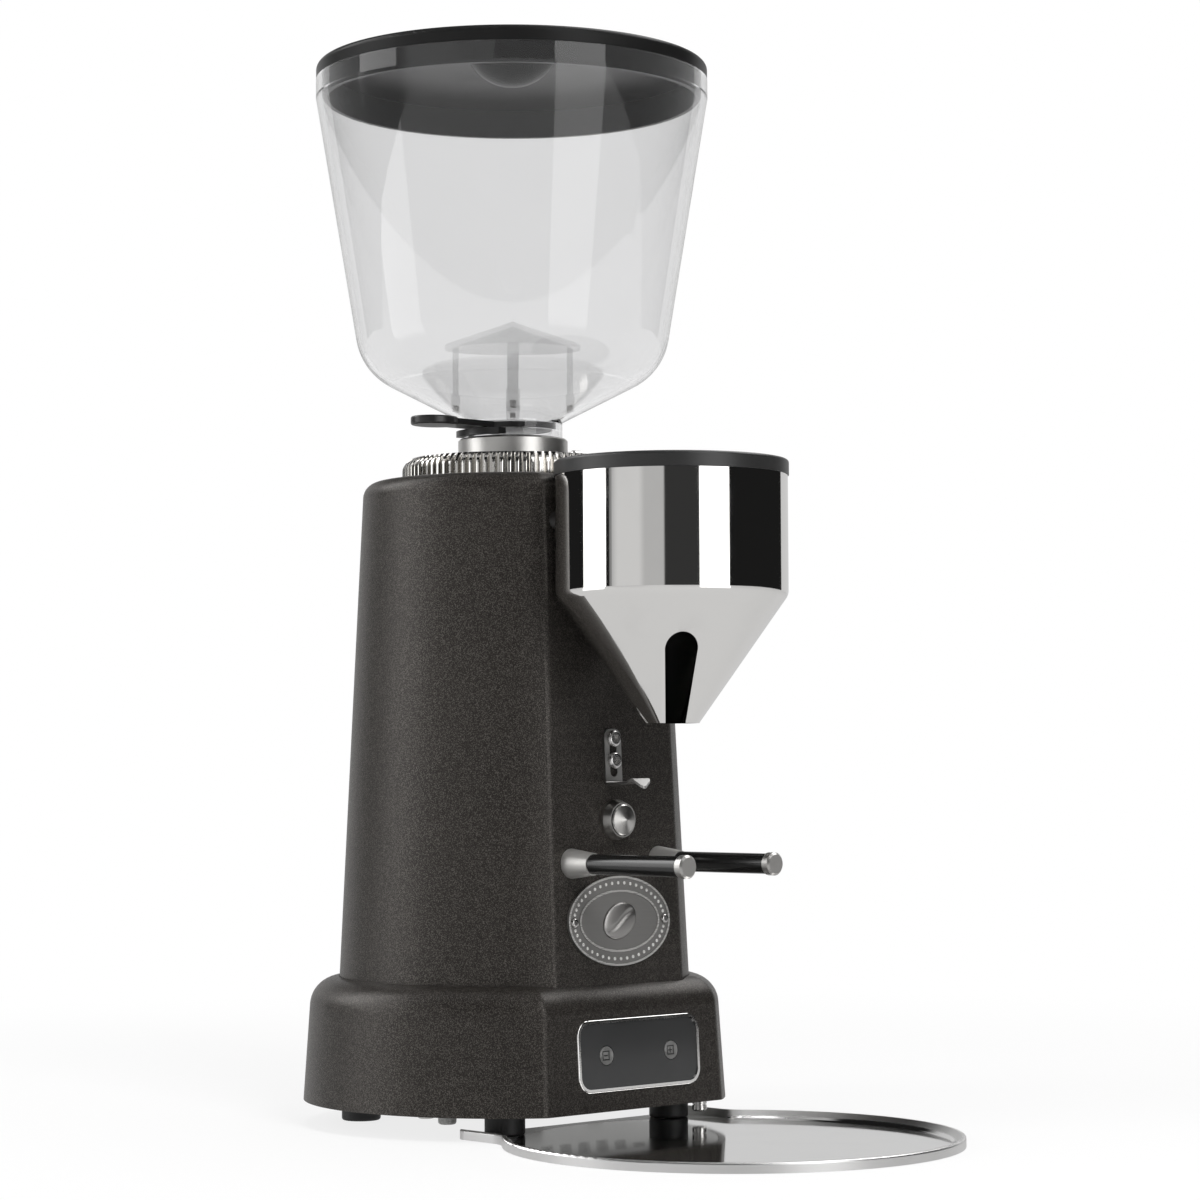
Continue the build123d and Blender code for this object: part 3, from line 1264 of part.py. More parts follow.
def make_hopper_lid():
    """Black lid with a skirt inside the rim and a round finger bowl."""
    skirt_r = HOPPER_R - HOPPER_WALL - LID_SKIRT_GAP
    roof = LID_TOP - LID_ROOF
    points = [
        (0, roof),
        (skirt_r - LID_SKIRT_WALL, roof),
        (skirt_r - LID_SKIRT_WALL, HOPPER_RIM - LID_SKIRT_DEPTH),
        (skirt_r, HOPPER_RIM - LID_SKIRT_DEPTH),
        (skirt_r, HOPPER_RIM + RUN_GAP / 3),
        (LID_R, HOPPER_RIM + RUN_GAP / 3),
        (LID_R, LID_TOP),
        (0, LID_TOP),
    ]
    lid = turned(points, [(points[6], LID_ROUND)])
    ball_r = (GRIP_BOWL_R**2 + GRIP_BOWL_DEPTH**2) / (2 * GRIP_BOWL_DEPTH)
    x, y = facing(GUARD_TURN, GRIP_BOWL_AT)
    centre = Pos(x, y, LID_TOP - GRIP_BOWL_DEPTH + ball_r)
    shell = centre * Sphere(ball_r + GRIP_BOWL_WALL)
    half = 2 * GRIP_BOWL_R
    shell &= block((x - half, x + half), (y - half, y + half), (LID_TOP - 2 * GRIP_BOWL_DEPTH, LID_TOP))
    lid += shell
    return lid - centre * Sphere(ball_r)


# ---- Outlet funnel ----
def make_funnel():
    """Mirror-bright funnel with a slot in its cone and an opening for the chute at its back."""
    slope = (FUNNEL_R - OUTLET_R) / (FUNNEL_CONE_TOP - OUTLET_Z)
    side = FUNNEL_WALL / cos(atan(slope))
    inner_bend = FUNNEL_CONE_TOP + (side - FUNNEL_WALL) / slope
    points = [
        (OUTLET_R, OUTLET_Z),
        (FUNNEL_R, FUNNEL_CONE_TOP),
        (FUNNEL_R, FUNNEL_TOP_Z),
        (FUNNEL_R - FUNNEL_WALL, FUNNEL_TOP_Z),
        (FUNNEL_R - FUNNEL_WALL, inner_bend),
        (OUTLET_R - side, OUTLET_Z),
    ]
    rounds = [(points[1], FUNNEL_BEND_R), (points[4], FUNNEL_BEND_R - FUNNEL_WALL)]
    funnel = turned(points, rounds)
    arch_r = SLOT_ARCH_WIDTH / 2
    foot = SLOT_FOOT_WIDTH / 2
    arch_z = SLOT_ARCH_Z - arch_r
    slot = outline([(-foot, OUTLET_Z - BEYOND), (foot, OUTLET_Z - BEYOND), (arch_r, arch_z), (-arch_r, arch_z)])
    slot += Pos(0, arch_z) * Circle(arch_r)
    funnel -= Rot(0, 0, SLOT_TURN) * extrude(Plane.XZ * slot, amount=FUNNEL_R)
    funnel = Pos(0, -FUNNEL_Y, 0) * funnel
    return funnel - chute_block(2 * HOLE_GAP, FUNNEL_BACK + 8.0, FUNNEL_BACK - BEYOND)


def make_funnel_lid():
    """Black cap on the funnel, with a skirt inside its rim."""
    skirt_r = FUNNEL_R - FUNNEL_WALL - RUN_GAP
    low = FUNNEL_TOP_Z + RUN_GAP / 3
    top = low + FUNNEL_LID_THICK
    points = [
        (0, top),
        (0, top - 2.4),
        (skirt_r - FUNNEL_LID_WALL, top - 2.4),
        (skirt_r - FUNNEL_LID_WALL, low - FUNNEL_LID_SKIRT),
        (skirt_r, low - FUNNEL_LID_SKIRT),
        (skirt_r, low),
        (FUNNEL_LID_R, low),
        (FUNNEL_LID_R, top),
    ]
    lid = Pos(0, -FUNNEL_Y, 0) * turned(points, [(points[7], FUNNEL_LID_ROUND)])
    return lid


# ---- Tray ----
def tray_plan(inset, back):
    """Plan of the tray, drawn in by an inset, with its tongue running to a back line."""
    disc = Pos(0, -TRAY_Y) * Circle(TRAY_R)
    tongue = Pos(0, -(TRAY_Y + back) / 2) * Rectangle(2 * TONGUE_HALF_WIDTH, TRAY_Y - back)
    plan = disc + tongue
    inner = plan.vertices().filter_by(lambda point: -TRAY_Y < point.Y < -back - BEYOND)
    plan = fillet(inner, TONGUE_CORNER_R)
    return offset(plan, -inset, kind=Kind.INTERSECTION) if inset > 0 else plan


def make_tray():
    """Round steel tray with a flared rim, and a tongue that the front feet stand on."""
    plan = tray_plan(0, TONGUE_BACK_Y)
    back_corners = plan.vertices().filter_by(lambda point: point.Y > -TONGUE_BACK_Y - BEYOND)
    plan = fillet(back_corners, TONGUE_CORNER_R / 2)
    tray = extrude(plan, amount=TRAY_HEIGHT)
    rim_edges = tray.faces().sort_by(Axis.Z)[-1].edges()
    tray = fillet(rim_edges, TRAY_EDGE_R)
    floor = tray_plan(TRAY_LIP + TRAY_FLARE, -TRAY_R)
    depth = TRAY_HEIGHT - TRAY_SHEET
    steep = degrees(atan(TRAY_FLARE / depth))
    pan = extrude(Pos(0, 0, TRAY_SHEET) * floor, amount=depth, taper=-steep)
    pan += extrude(Pos(0, 0, TRAY_HEIGHT) * tray_plan(TRAY_LIP, -TRAY_R), amount=BEYOND)
    return tray - pan


# ---- Electrics ----
def make_run_capacitor():
    """Capacitor lying across the back of the base, on the plate."""
    z = BASE_BOTTOM + PLATE_THICK + CAPACITOR_R
    half = CAPACITOR_LENGTH / 2
    can = bar_x(CAPACITOR_R, -half, half, CAPACITOR_Y, z)
    can = fillet(can.edges().filter_by(GeomType.CIRCLE), 1.5)
    for y in (-5.0, 5.0):
        can += block((half - 0.5, half + 6.0), (CAPACITOR_Y + y - 0.4, CAPACITOR_Y + y + 0.4), (z - 3, z + 3))
    return can


def make_control_board():
    """Control board on four pegs above the plate, with its relay and transformer."""
    low = BASE_BOTTOM + PLATE_THICK
    half_w = CONTROL_WIDTH / 2
    half_d = CONTROL_DEPTH / 2
    top = low + CONTROL_RISE + BOARD_THICK
    board = block((-half_w, half_w), (-half_d, half_d), (low + CONTROL_RISE, top))
    for x in (-half_w + BOARD_PEG_IN, half_w - BOARD_PEG_IN):
        for y in (-half_d + BOARD_PEG_IN, half_d - BOARD_PEG_IN):
            board += post(BOARD_PEG_R, low, low + CONTROL_RISE, x, y)
    board += Pos(-CHIP_X, 0, top) * Box(*TRANSFORMER_SIZE, 2 * CHIP_HEIGHT, align=MIDDLE_LOW)
    board += Pos(CHIP_X, 0, top) * Box(*RELAY_SIZE, CHIP_HEIGHT, align=MIDDLE_LOW)
    return board


def make_power_switch():
    """Push switch's cap under the base's left side."""
    bottom = BASE_BOTTOM - SWITCH_DROP
    cap = post(SWITCH_R, bottom, BASE_BOTTOM + PLATE_THICK + 2.0, -SWITCH_X, -SWITCH_Y)
    return fillet(cap.edges().sort_by(Axis.Z)[0], 1.2)


def make_switch_case():
    """Body of the power switch above the plate."""
    low = BASE_BOTTOM + PLATE_THICK
    half = SWITCH_CASE / 2
    case = block(
        (-SWITCH_X - half, -SWITCH_X + half),
        (-SWITCH_Y - half, -SWITCH_Y + half),
        (low, low + SWITCH_CASE_HEIGHT),
    )
    cavity_top = low + 2.0 + SWITCH_TRAVEL + 1.0
    return case - post(SWITCH_R + RUN_GAP, low - BEYOND, cavity_top, -SWITCH_X, -SWITCH_Y)


def make_funnel_magnets():
    """Two magnets set into the saddle that hold the funnel."""
    return magnet_rods(FUNNEL_TOP_Z - MAGNET_DROP, FUNNEL_R + SADDLE_GAP + 0.2, FUNNEL_R + SADDLE_GAP + 4.0)


NODES = {
    "base_housing": make_base_housing,
    "body_housing": make_body_housing,
    "underside_plate": make_underside_plate,
    "plate_screws": make_plate_screws,
    "rubber_feet": make_rubber_feet,
    "lock_stud": make_lock_stud,
    "cord_gland": make_cord_gland,
    "display_bezel": make_display_bezel,
    "display_panel": make_display_panel,
    "minus_key": lambda: make_key(-KEY_X),
    "plus_key": lambda: make_key(KEY_X),
    "display_board": make_display_board,
    "control_board": make_control_board,
    "run_capacitor": make_run_capacitor,
    "power_switch": make_power_switch,
    "switch_case": make_switch_case,
    "button_bezel": make_button_bezel,
    "push_button": make_push_button,
    "start_switch": make_start_switch,
    "portafilter_clip": make_portafilter_clip,
    "clip_screws": make_clip_screws,
    "fork_rods": make_fork_rods,
    "fork_sleeves": make_fork_sleeves,
    "fork_tips": make_fork_tips,
    "badge_plate": make_badge_plate,
    "badge_rivets": make_badge_rivets,
    "motor_stator": make_motor_stator,
    "motor_windings": make_motor_windings,
    "upper_shield": make_upper_shield,
    "lower_shield": make_lower_shield,
    "upper_bearing": lambda: bearing_at(SHIELD_TOP - SHIELD_FLANGE - BEARING_WIDTH),
    "lower_bearing": lambda: bearing_at(SHIELD_BOTTOM + SHIELD_WALL),
    "motor_bolts": make_motor_screws,
    "motor_rotor": make_motor_rotor,
    "cooling_fan": make_cooling_fan,
    "grind_chamber": make_grind_chamber,
    "coffee_chute": make_coffee_chute,
    "lower_burr_carrier": make_lower_burr_carrier,
    "lower_burr": lambda: burr(False),
    "lower_burr_screws": make_lower_burr_screws,
    "carrier_nut": make_carrier_nut,
    "upper_burr_carrier": make_upper_burr_carrier,
    "upper_burr": lambda: burr(True),
    "upper_burr_screws": make_upper_burr_screws,
    "adjusting_ring": make_adjusting_ring,
    "hopper_collar": make_hopper_collar,
    "hopper_lock_screw": make_hopper_lock_screw,
    "hopper": make_hopper,
    "gate_guide": make_gate_guide,
    "gate_slide": make_gate_slide,
    "finger_guard": make_finger_guard,
    "guard_screws": make_guard_screws,
    "hopper_lid": make_hopper_lid,
    "funnel": make_funnel,
    "funnel_lid": make_funnel_lid,
    "funnel_magnets": make_funnel_magnets,
    "tray": make_tray,
}


def main():
    """Make each sub-part and write it at its place in the part's frame."""
    os.makedirs("parts", exist_ok=True)
    for name, make in NODES.items():
        made = make()
        solids = made if isinstance(made, list) else [made]
        solids = [solid for item in solids for solid in item.solids()]
        placed = Pos(0, AXIS_Y, 0) * Compound(children=solids)
        export_step(placed, f"parts/{name}.step")
        print(name, len(solids), round(sum(solid.volume for solid in solids), 1))


main()
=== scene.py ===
"""Studio scene of an on-demand burr coffee grinder: its finishes, fine detail, light and camera."""

from __future__ import annotations

import logging
import math
from dataclasses import dataclass
from enum import Enum
from typing import Mapping, Sequence, Union

import bmesh
import bpy
from mathutils import Matrix, Vector


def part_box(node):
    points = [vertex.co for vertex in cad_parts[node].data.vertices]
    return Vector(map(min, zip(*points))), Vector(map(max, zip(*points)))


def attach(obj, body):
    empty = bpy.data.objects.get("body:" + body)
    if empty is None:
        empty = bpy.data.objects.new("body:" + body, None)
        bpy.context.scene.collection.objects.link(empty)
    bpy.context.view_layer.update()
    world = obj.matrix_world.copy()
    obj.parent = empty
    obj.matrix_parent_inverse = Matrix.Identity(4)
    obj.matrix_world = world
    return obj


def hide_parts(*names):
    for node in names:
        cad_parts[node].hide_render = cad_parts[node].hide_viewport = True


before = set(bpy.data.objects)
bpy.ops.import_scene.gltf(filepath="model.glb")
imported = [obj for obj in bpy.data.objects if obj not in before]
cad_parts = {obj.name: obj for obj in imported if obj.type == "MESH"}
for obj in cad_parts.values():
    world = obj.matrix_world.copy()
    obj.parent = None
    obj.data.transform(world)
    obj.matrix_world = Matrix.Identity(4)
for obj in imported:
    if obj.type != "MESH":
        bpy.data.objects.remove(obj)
LOG = logging.getLogger("grinder")
MM = 0.001
FRONT_LEAN = math.atan(11.0 / 222.0)
DISPLAY_LEAN = math.atan(3.2 / 54.5)
Colour = tuple[float, float, float]


def shaded(colour: Colour, share: float) -> Colour:
    """Colour times a number."""
    return tuple(share * part for part in colour)


# ---------------------------------------------------------------- shader expressions
class Field:
    """A number that changes over a surface, written as a Python expression."""

    def __init__(self, shader: "Shader", socket: bpy.types.NodeSocket) -> None:
        """Wrap an output socket of a shader's tree.

        Args:
            shader: The shader that the socket belongs to.
            socket: The output socket.
        """
        self.shader = shader
        self.socket = socket

    def _math(self, operation: str, first: "Number", second: "Number") -> "Field":
        """Add one Math node.

        Args:
            operation: The node's operation.
            first: Its first value.
            second: Its second value.

        Returns:
            The node's result.
        """
        return self.shader.add("ShaderNodeMath", {"operation": operation}, {0: first, 1: second})

    def __add__(self, other: "Number") -> "Field":
        """Sum."""
        return self._math("ADD", self, other)

    __radd__ = __add__

    def __sub__(self, other: "Number") -> "Field":
        """Difference."""
        return self._math("SUBTRACT", self, other)

    def __rsub__(self, other: "Number") -> "Field":
        """Difference from a plain number."""
        return self._math("SUBTRACT", other, self)

    def __mul__(self, other: "Number") -> "Field":
        """Product."""
        return self._math("MULTIPLY", self, other)

    __rmul__ = __mul__

    def above(self, low: float, high: float) -> "Field":
        """Smooth step from 0 below low to 1 above high.

        Args:
            low: The value where the step starts.
            high: The value where it ends.

        Returns:
            The step, from 0 to 1.
        """
        ends = {"Value": self, "From Min": low, "From Max": high}
        return self.shader.add("ShaderNodeMapRange", {"interpolation_type": "SMOOTHSTEP"}, ends)

    def sine(self) -> "Field":
        """Sine of the value, in radians."""
        return self._math("SINE", self, 0.0)

    def most(self, other: "Number") -> "Field":
        """The larger of two values."""
        return self._math("MAXIMUM", self, other)


Number = Union[Field, float]


class Shader:
    """The node tree of a material or a world."""

    def __init__(self, name: str, owner: Union[bpy.types.World, None] = None) -> None:
        """Start an empty tree.

        Args:
            name: The material's name.
            owner: The world that the tree belongs to, or nothing for a new material.
        """
        self.material = owner or bpy.data.materials.new(name)
        self.material.use_nodes = True
        self.tree = self.material.node_tree
        self.tree.nodes.clear()
        self._place: Union[bpy.types.NodeSocket, None] = None

    def add(
        self,
        kind: str,
        settings: Mapping[str, object] | None = None,
        inputs: Mapping[Union[int, str], object] | None = None,
        output: Union[int, str, None] = 0,
    ) -> Union[Field, None]:
        """Add a node.

        Args:
            kind: The node's type.
            settings: Its settings, which are set first.
            inputs: Values, colours or fields for its sockets.
            output: The output that is wanted, or None for an end node.

        Returns:
            That output as a field.
        """
        node = self.tree.nodes.new(kind)
        for key, value in (settings or {}).items():
            setattr(node, key, value)
        for key, value in (inputs or {}).items():
            socket = node.inputs[key]
            if isinstance(value, Field):
                self.tree.links.new(value.socket, socket)
            else:
                socket.default_value = value
        return None if output is None else Field(self, node.outputs[output])

    def place(self) -> Field:
        """Place on the object, in metres."""
        if self._place is None:
            self._place = self.add("ShaderNodeTexCoord", output="Object").socket
        return Field(self, self._place)

    def stretched(self, scale: Sequence[float], shift: Sequence[float] = (0, 0, 0)) -> Field:
        """Place on the object, scaled along each axis.

        Args:
            scale: The scale along X, Y and Z.
            shift: A shift before the scale, in metres.

        Returns:
            The scaled place.
        """
        moved = self.add("ShaderNodeVectorMath", {"operation": "ADD"}, {0: self.place(), 1: tuple(shift)})
        return self.add("ShaderNodeVectorMath", {"operation": "MULTIPLY"}, {0: moved, 1: tuple(scale)})

    def noise(self, size: float, detail: float = 2.0, at: Field | None = None) -> Field:
        """Soft noise.

        Args:
            size: The size of its blotches, in metres, or in the units of the place given.
            detail: Its octaves.
            at: The place that it is read at.

        Returns:
            The noise, about 0 to 1.
        """
        inputs = {"Vector": at or self.place(), "Scale": 1.0 / size, "Detail": detail}
        return self.add("ShaderNodeTexNoise", None, inputs)

    def cells(self, size: float) -> Field:
        """Grains that each have a brightness of their own.

        Args:
            size: The size of a grain, in metres.

        Returns:
            The brightness, from 0 to 1.
        """
        return self.add("ShaderNodeTexVoronoi", None, {"Vector": self.place(), "Scale": 1.0 / size}, "Color")

    def blend(self, share: Number, low: Union[Field, Colour], high: Union[Field, Colour]) -> Field:
        """Mix two colours.

        Args:
            share: 0 for the first, 1 for the second.
            low: The first colour.
            high: The second colour.

        Returns:
            The mixed colour.
        """
        ends = [end if isinstance(end, Field) else (*end, 1.0) for end in (low, high)]
        inputs = {0: share, 6: ends[0], 7: ends[1]}
        return self.add("ShaderNodeMix", {"data_type": "RGBA"}, inputs, 2)

    def radius(self, centre: Sequence[float]) -> Field:
        """Distance from an upright line.

        Args:
            centre: The line's x and y, in metres.

        Returns:
            The distance, in metres.
        """
        return self.length(self.stretched((1, 1, 0), (-centre[0], -centre[1], 0)))

    def length(self, place: Field) -> Field:
        """Length of a vector."""
        return self.add("ShaderNodeVectorMath", {"operation": "LENGTH"}, {0: place}, "Value")

    def part(self, place: Field, axis: str) -> Field:
        """One axis of a place or a direction."""
        return self.add("ShaderNodeSeparateXYZ", None, {0: place}, axis)

    def turn(self, place: Field) -> Field:
        """Direction round the middle, in radians from the front towards +X."""
        across, back = self.part(place, "X"), self.part(place, "Y")
        return self.add("ShaderNodeMath", {"operation": "ARCTAN2"}, {0: across, 1: 0.0 - back})

    def bump(self, height: Field, depth: float) -> Field:
        """Bump that feeds a Normal socket.

        Args:
            height: The height, from 0 to 1.
            depth: What a height of 1 stands for, in metres.

        Returns:
            The bumped normal.
        """
        return self.add("ShaderNodeBump", None, {"Strength": 1.0, "Distance": depth, "Height": height})

    def finish(self, **values: object) -> bpy.types.Material:
        """End the tree in a Principled shader.

        Args:
            **values: Its sockets, with their spaces written as underscores.

        Returns:
            The material.
        """
        return self.end(self.principled(**values))

    def principled(self, **values: object) -> Field:
        """Add a Principled shader.

        Args:
            **values: Its sockets, with their spaces written as underscores.

        Returns:
            The shader.
        """
        named = {key.replace("_", " "): value for key, value in values.items()}
        for key, value in named.items():
            if isinstance(value, tuple) and len(value) == 3:
                named[key] = (*value, 1.0)
        return self.add("ShaderNodeBsdfPrincipled", None, named)

    def seen_by(self, *rays: str) -> Field:
        """Mask of the rays that ask: 1 for those that are named.

        Args:
            *rays: Outputs of Light Path.

        Returns:
            The mask.
        """
        mask: Number = 0.0
        for ray in rays:
            mask = self.add("ShaderNodeLightPath", output=ray).most(mask)
        return mask

    def end(self, surface: Field) -> Union[bpy.types.Material, bpy.types.World]:
        """End the tree in a shader.

        Args:
            surface: The shader.

        Returns:
            The material or the world.
        """
        for_world = isinstance(self.material, bpy.types.World)
        kind = "ShaderNodeOutputWorld" if for_world else "ShaderNodeOutputMaterial"
        self.add(kind, None, {"Surface": surface}, None)
        return self.material


# ---------------------------------------------------------------- finishes
class Grain(Enum):
    """Direction in which a metal was worked."""

    ROUND_Z = "turned about an upright axis"
    ROUND_Y = "turned about an axis to the front"
    LONG_X = "brushed along X"
    LONG_Z = "brushed along Z"


@dataclass(frozen=True)
class PowderCoat:
    """Textured powder coat with a fine light speckle."""

    colour: Colour = (0.0088, 0.0075, 0.0064)
    light: Colour = (0.096, 0.088, 0.080)
    speck: float = 0.30 * MM
    cover: float = 0.9
    pebble: float = 0.6 * MM
    depth: float = 0.05 * MM
    cloud: float = 60 * MM
    uneven: float = 1.22

    def make(self, name: str) -> bpy.types.Material:
        """Make the material.

        Args:
            name: The material's name.

        Returns:
            The material.
        """
        shader = Shader(name)
        flakes = shader.cells(self.speck)
        dust = shader.noise(self.speck * 0.6, 1.0)
        specks = (flakes * 0.8 + dust * 0.2).above(0.50, 0.78)
        cloud = shader.noise(self.cloud, 2.0).above(0.3, 0.7)
        base = shader.blend(cloud, self.colour, shaded(self.colour, self.uneven))
        colour = shader.blend(specks * self.cover, base, self.light)
        height = shader.noise(self.pebble, 2.0) + specks * 0.5
        return shader.finish(
            Base_Color=colour,
            Roughness=0.38 - specks * 0.06,
            Metallic=specks * 0.4,
            Specular_IOR_Level=0.35,
            Specular_Tint=(1.0, 0.95, 0.905),
            Normal=shader.bump(height, self.depth),
        )


@dataclass(frozen=True)
class PolishedMetal:
    """Mirror-bright metal with faint smears and hairlines, duller beyond a radius if one is given."""

    colour: Colour = (0.80, 0.79, 0.775)
    roughness: float = 0.045
    smear: float = 0.035
    smear_size: float = 22 * MM
    hairs: tuple[float, float, float] = (260, 260, 3200)
    hair_depth: float = 0.0015 * MM
    centre: tuple[float, float] = (0.0, 0.0)
    rim_r: float = 1.0
    rim_rough: float = 0.0
    rim_soft: float = 0.5 * MM

    def make(self, name: str) -> bpy.types.Material:
        """Make the material.

        Args:
            name: The material's name.

        Returns:
            The material.
        """
        shader = Shader(name)
        smears = shader.noise(self.smear_size, 3.0).above(0.45, 0.75)
        hair = shader.noise(1.0, 1.0, shader.stretched(self.hairs))
        tint = shader.blend(smears * 0.35, self.colour, shaded(self.colour, 0.93))
        beyond = shader.radius(self.centre).above(self.rim_r - self.rim_soft, self.rim_r + self.rim_soft)
        return shader.finish(
            Base_Color=tint,
            Metallic=1.0,
            Roughness=smears * self.smear + beyond * self.rim_rough + self.roughness,
            Normal=shader.bump(hair, self.hair_depth),
        )


@dataclass(frozen=True)
class WorkedMetal:
    """Turned or brushed metal with fine marks along its grain."""

    colour: Colour = (0.62, 0.61, 0.595)
    roughness: float = 0.24
    grain: Grain = Grain.ROUND_Z
    pitch: float = 0.16 * MM
    depth: float = 0.004 * MM
    centre: tuple[float, float] = (0.0, 0.0)
    metallic: float = 1.0
    along: float = 12.0
    cloud: float = 9 * MM

    def marks(self, shader: Shader) -> Field:
        """Fine lines along the grain.

        Args:
            shader: The shader that they are added to.

        Returns:
            Their height, from 0 to 1.
        """
        tight, loose = 1.0 / self.pitch, self.along
        if self.grain is Grain.LONG_X:
            return shader.noise(1.0, 2.0, shader.stretched((loose, tight, tight)))
        if self.grain is Grain.LONG_Z:
            return shader.noise(1.0, 2.0, shader.stretched((tight, tight, loose)))
        if self.grain is Grain.ROUND_Y:
            length = shader.length(shader.stretched((1, 0, 1), (-self.centre[0], 0, -self.centre[1])))
        else:
            length = shader.radius(self.centre)
        rings = shader.add("ShaderNodeCombineXYZ", None, {0: length * tight, 1: 0.0, 2: 0.0})
        axis = (0, tight, 0) if self.grain is Grain.ROUND_Y else (0, 0, tight)
        along = shader.add("ShaderNodeVectorMath", {"operation": "MULTIPLY"}, {0: shader.place(), 1: axis})
        mixed = shader.add("ShaderNodeVectorMath", {"operation": "ADD"}, {0: rings, 1: along})
        return shader.noise(1.0, 2.0, mixed)

    def make(self, name: str) -> bpy.types.Material:
        """Make the material.

        Args:
            name: The material's name.

        Returns:
            The material.
        """
        shader = Shader(name)
        marks = self.marks(shader)
        cloud = shader.noise(self.cloud, 2.0)
        tint = shader.blend(marks * 0.5, shaded(self.colour, 0.86), self.colour)
        return shader.finish(
            Base_Color=tint,
            Metallic=self.metallic,
            Roughness=marks * 0.10 + cloud * 0.06 + (self.roughness - 0.08),
            Normal=shader.bump(marks, self.depth),
        )


@dataclass(frozen=True)
class MouldedPlastic:
    """Moulded plastic with a fine spark-eroded grain."""

    colour: Colour = (0.018, 0.018, 0.018)
    roughness: float = 0.42
    grain: float = 0.35 * MM
    depth: float = 0.018 * MM
    coat: float = 0.0
    shine: float = 0.5
    cover: float = 1.0
    wear_size: float = 30 * MM

    def make(self, name: str) -> bpy.types.Material:
        """Make the material.

        Args:
            name: The material's name.

        Returns:
            The material.
        """
        shader = Shader(name)
        grain = shader.noise(self.grain, 2.0)
        wear = shader.noise(self.wear_size, 3.0).above(0.45, 0.8)
        worn = tuple(min(1.0, 1.3 * part + 0.002) for part in self.colour)
        tint = shader.blend(wear * 0.5, self.colour, worn)
        return shader.finish(
            Base_Color=tint,
            Roughness=grain * 0.10 + wear * 0.06 + (self.roughness - 0.08),
            Coat_Weight=self.coat,
            Coat_Roughness=0.05,
            Specular_IOR_Level=self.shine,
            Alpha=self.cover,
            Normal=shader.bump(grain, self.depth),
        )


@dataclass(frozen=True)
class ClearPlastic:
    """Clear moulded plastic, a little grey, with faint flow lines."""

    colour: Colour = (0.955, 0.955, 0.958)
    roughness: float = 0.015
    index: float = 1.47
    flow: tuple[float, float, float] = (90, 90, 26)
    flow_depth: float = 0.012 * MM
    haze_size: float = 26 * MM

    def make(self, name: str) -> bpy.types.Material:
        """Make the material.

        Args:
            name: The material's name.

        Returns:
            The material.
        """
        shader = Shader(name)
        flow = shader.noise(1.0, 2.0, shader.stretched(self.flow))
        haze = shader.noise(self.haze_size, 2.0).above(0.4, 0.8)
        tint = shader.blend(haze * 0.5, self.colour, shaded(self.colour, 0.985))
        return shader.finish(
            Base_Color=tint,
            Roughness=haze * 0.02 + self.roughness,
            Transmission_Weight=1.0,
            IOR=self.index,
            Normal=shader.bump(flow, self.flow_depth),
        )


@dataclass(frozen=True)
class CastAlloy:
    """Cast alloy with a grainy skin."""

    colour: Colour = (0.44, 0.44, 0.43)
    roughness: float = 0.48
    grain: float = 0.8 * MM
    depth: float = 0.03 * MM
    stain_size: float = 14 * MM

    def make(self, name: str) -> bpy.types.Material:
        """Make the material.

        Args:
            name: The material's name.

        Returns:
            The material.
        """
        shader = Shader(name)
        skin = shader.noise(self.grain, 3.0)
        stain = shader.noise(self.stain_size, 3.0).above(0.4, 0.75)
        tint = shader.blend(stain * 0.6, self.colour, shaded(self.colour, 0.78))
        return shader.finish(
            Base_Color=tint,
            Metallic=1.0,
            Roughness=skin * 0.16 + (self.roughness - 0.08),
            Normal=shader.bump(skin, self.depth),
        )


@dataclass(frozen=True)
class Layered:
    """Stacked sheets or wound wire: fine parallel lines across Z."""

    colour: Colour
    dark: Colour
    pitch: float
    roughness: float = 0.36
    depth: float = 0.08 * MM
    blotch: float = 4 * MM

    def make(self, name: str) -> bpy.types.Material:
        """Make the material.

        Args:
            name: The material's name.

        Returns:
            The material.
        """
        shader = Shader(name)
        height = shader.stretched((0, 0, 2 * math.pi / self.pitch))
        line = shader.part(height, "Z").sine() * 0.5 + 0.5
        uneven = shader.noise(self.blotch, 2.0)
        tint = shader.blend(line * 0.7 + uneven * 0.3, self.dark, self.colour)
        return shader.finish(
            Base_Color=tint,
            Metallic=1.0,
            Roughness=uneven * 0.2 + (self.roughness - 0.1),
            Normal=shader.bump(line, self.depth),
        )


# ---------------------------------------------------------------- helpers for pieces
def dress(node: str, material: bpy.types.Material) -> None:
    """Give a CAD node its finish.

    Args:
        node: The node's name.
        material: The finish.
    """
    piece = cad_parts[node]
    piece.data.materials.clear()
    piece.data.materials.append(material)
    LOG.info("dressed %s with %s", node, material.name)


def middle(node: str) -> Vector:
    """Middle of a CAD node's box."""
    low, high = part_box(node)
    return (low + high) / 2


@dataclass(frozen=True)
class Seat:
    """A place on the leaning front: X to the right, Y up the face and Z outwards, in millimetres."""

    x: float
    y: float
    z: float
    lean: float

    def at(self, point: Sequence[float]) -> Vector:
        """Point of the part for a point on the seat.

        Args:
            point: Its x, y and z on the seat, in millimetres.

        Returns:
            The point, in metres.
        """
        across, up, out = point
        cos, sin = math.cos(self.lean), math.sin(self.lean)
        return Vector((self.x + across, self.y + up * sin - out * cos, self.z + up * cos + out * sin)) * MM

    def height(self, shader: Shader) -> Field:
        """Height above the seat over a surface.

        Args:
            shader: The surface's shader.

        Returns:
            The height, in metres.
        """
        foot = self.at((0, 0, 0))
        from_foot = shader.stretched((1, 1, 1), tuple(-foot))
        outwards = (0.0, -math.cos(self.lean), math.sin(self.lean))
        ends = {0: from_foot, 1: outwards}
        return shader.add("ShaderNodeVectorMath", {"operation": "DOT_PRODUCT"}, ends, "Value")


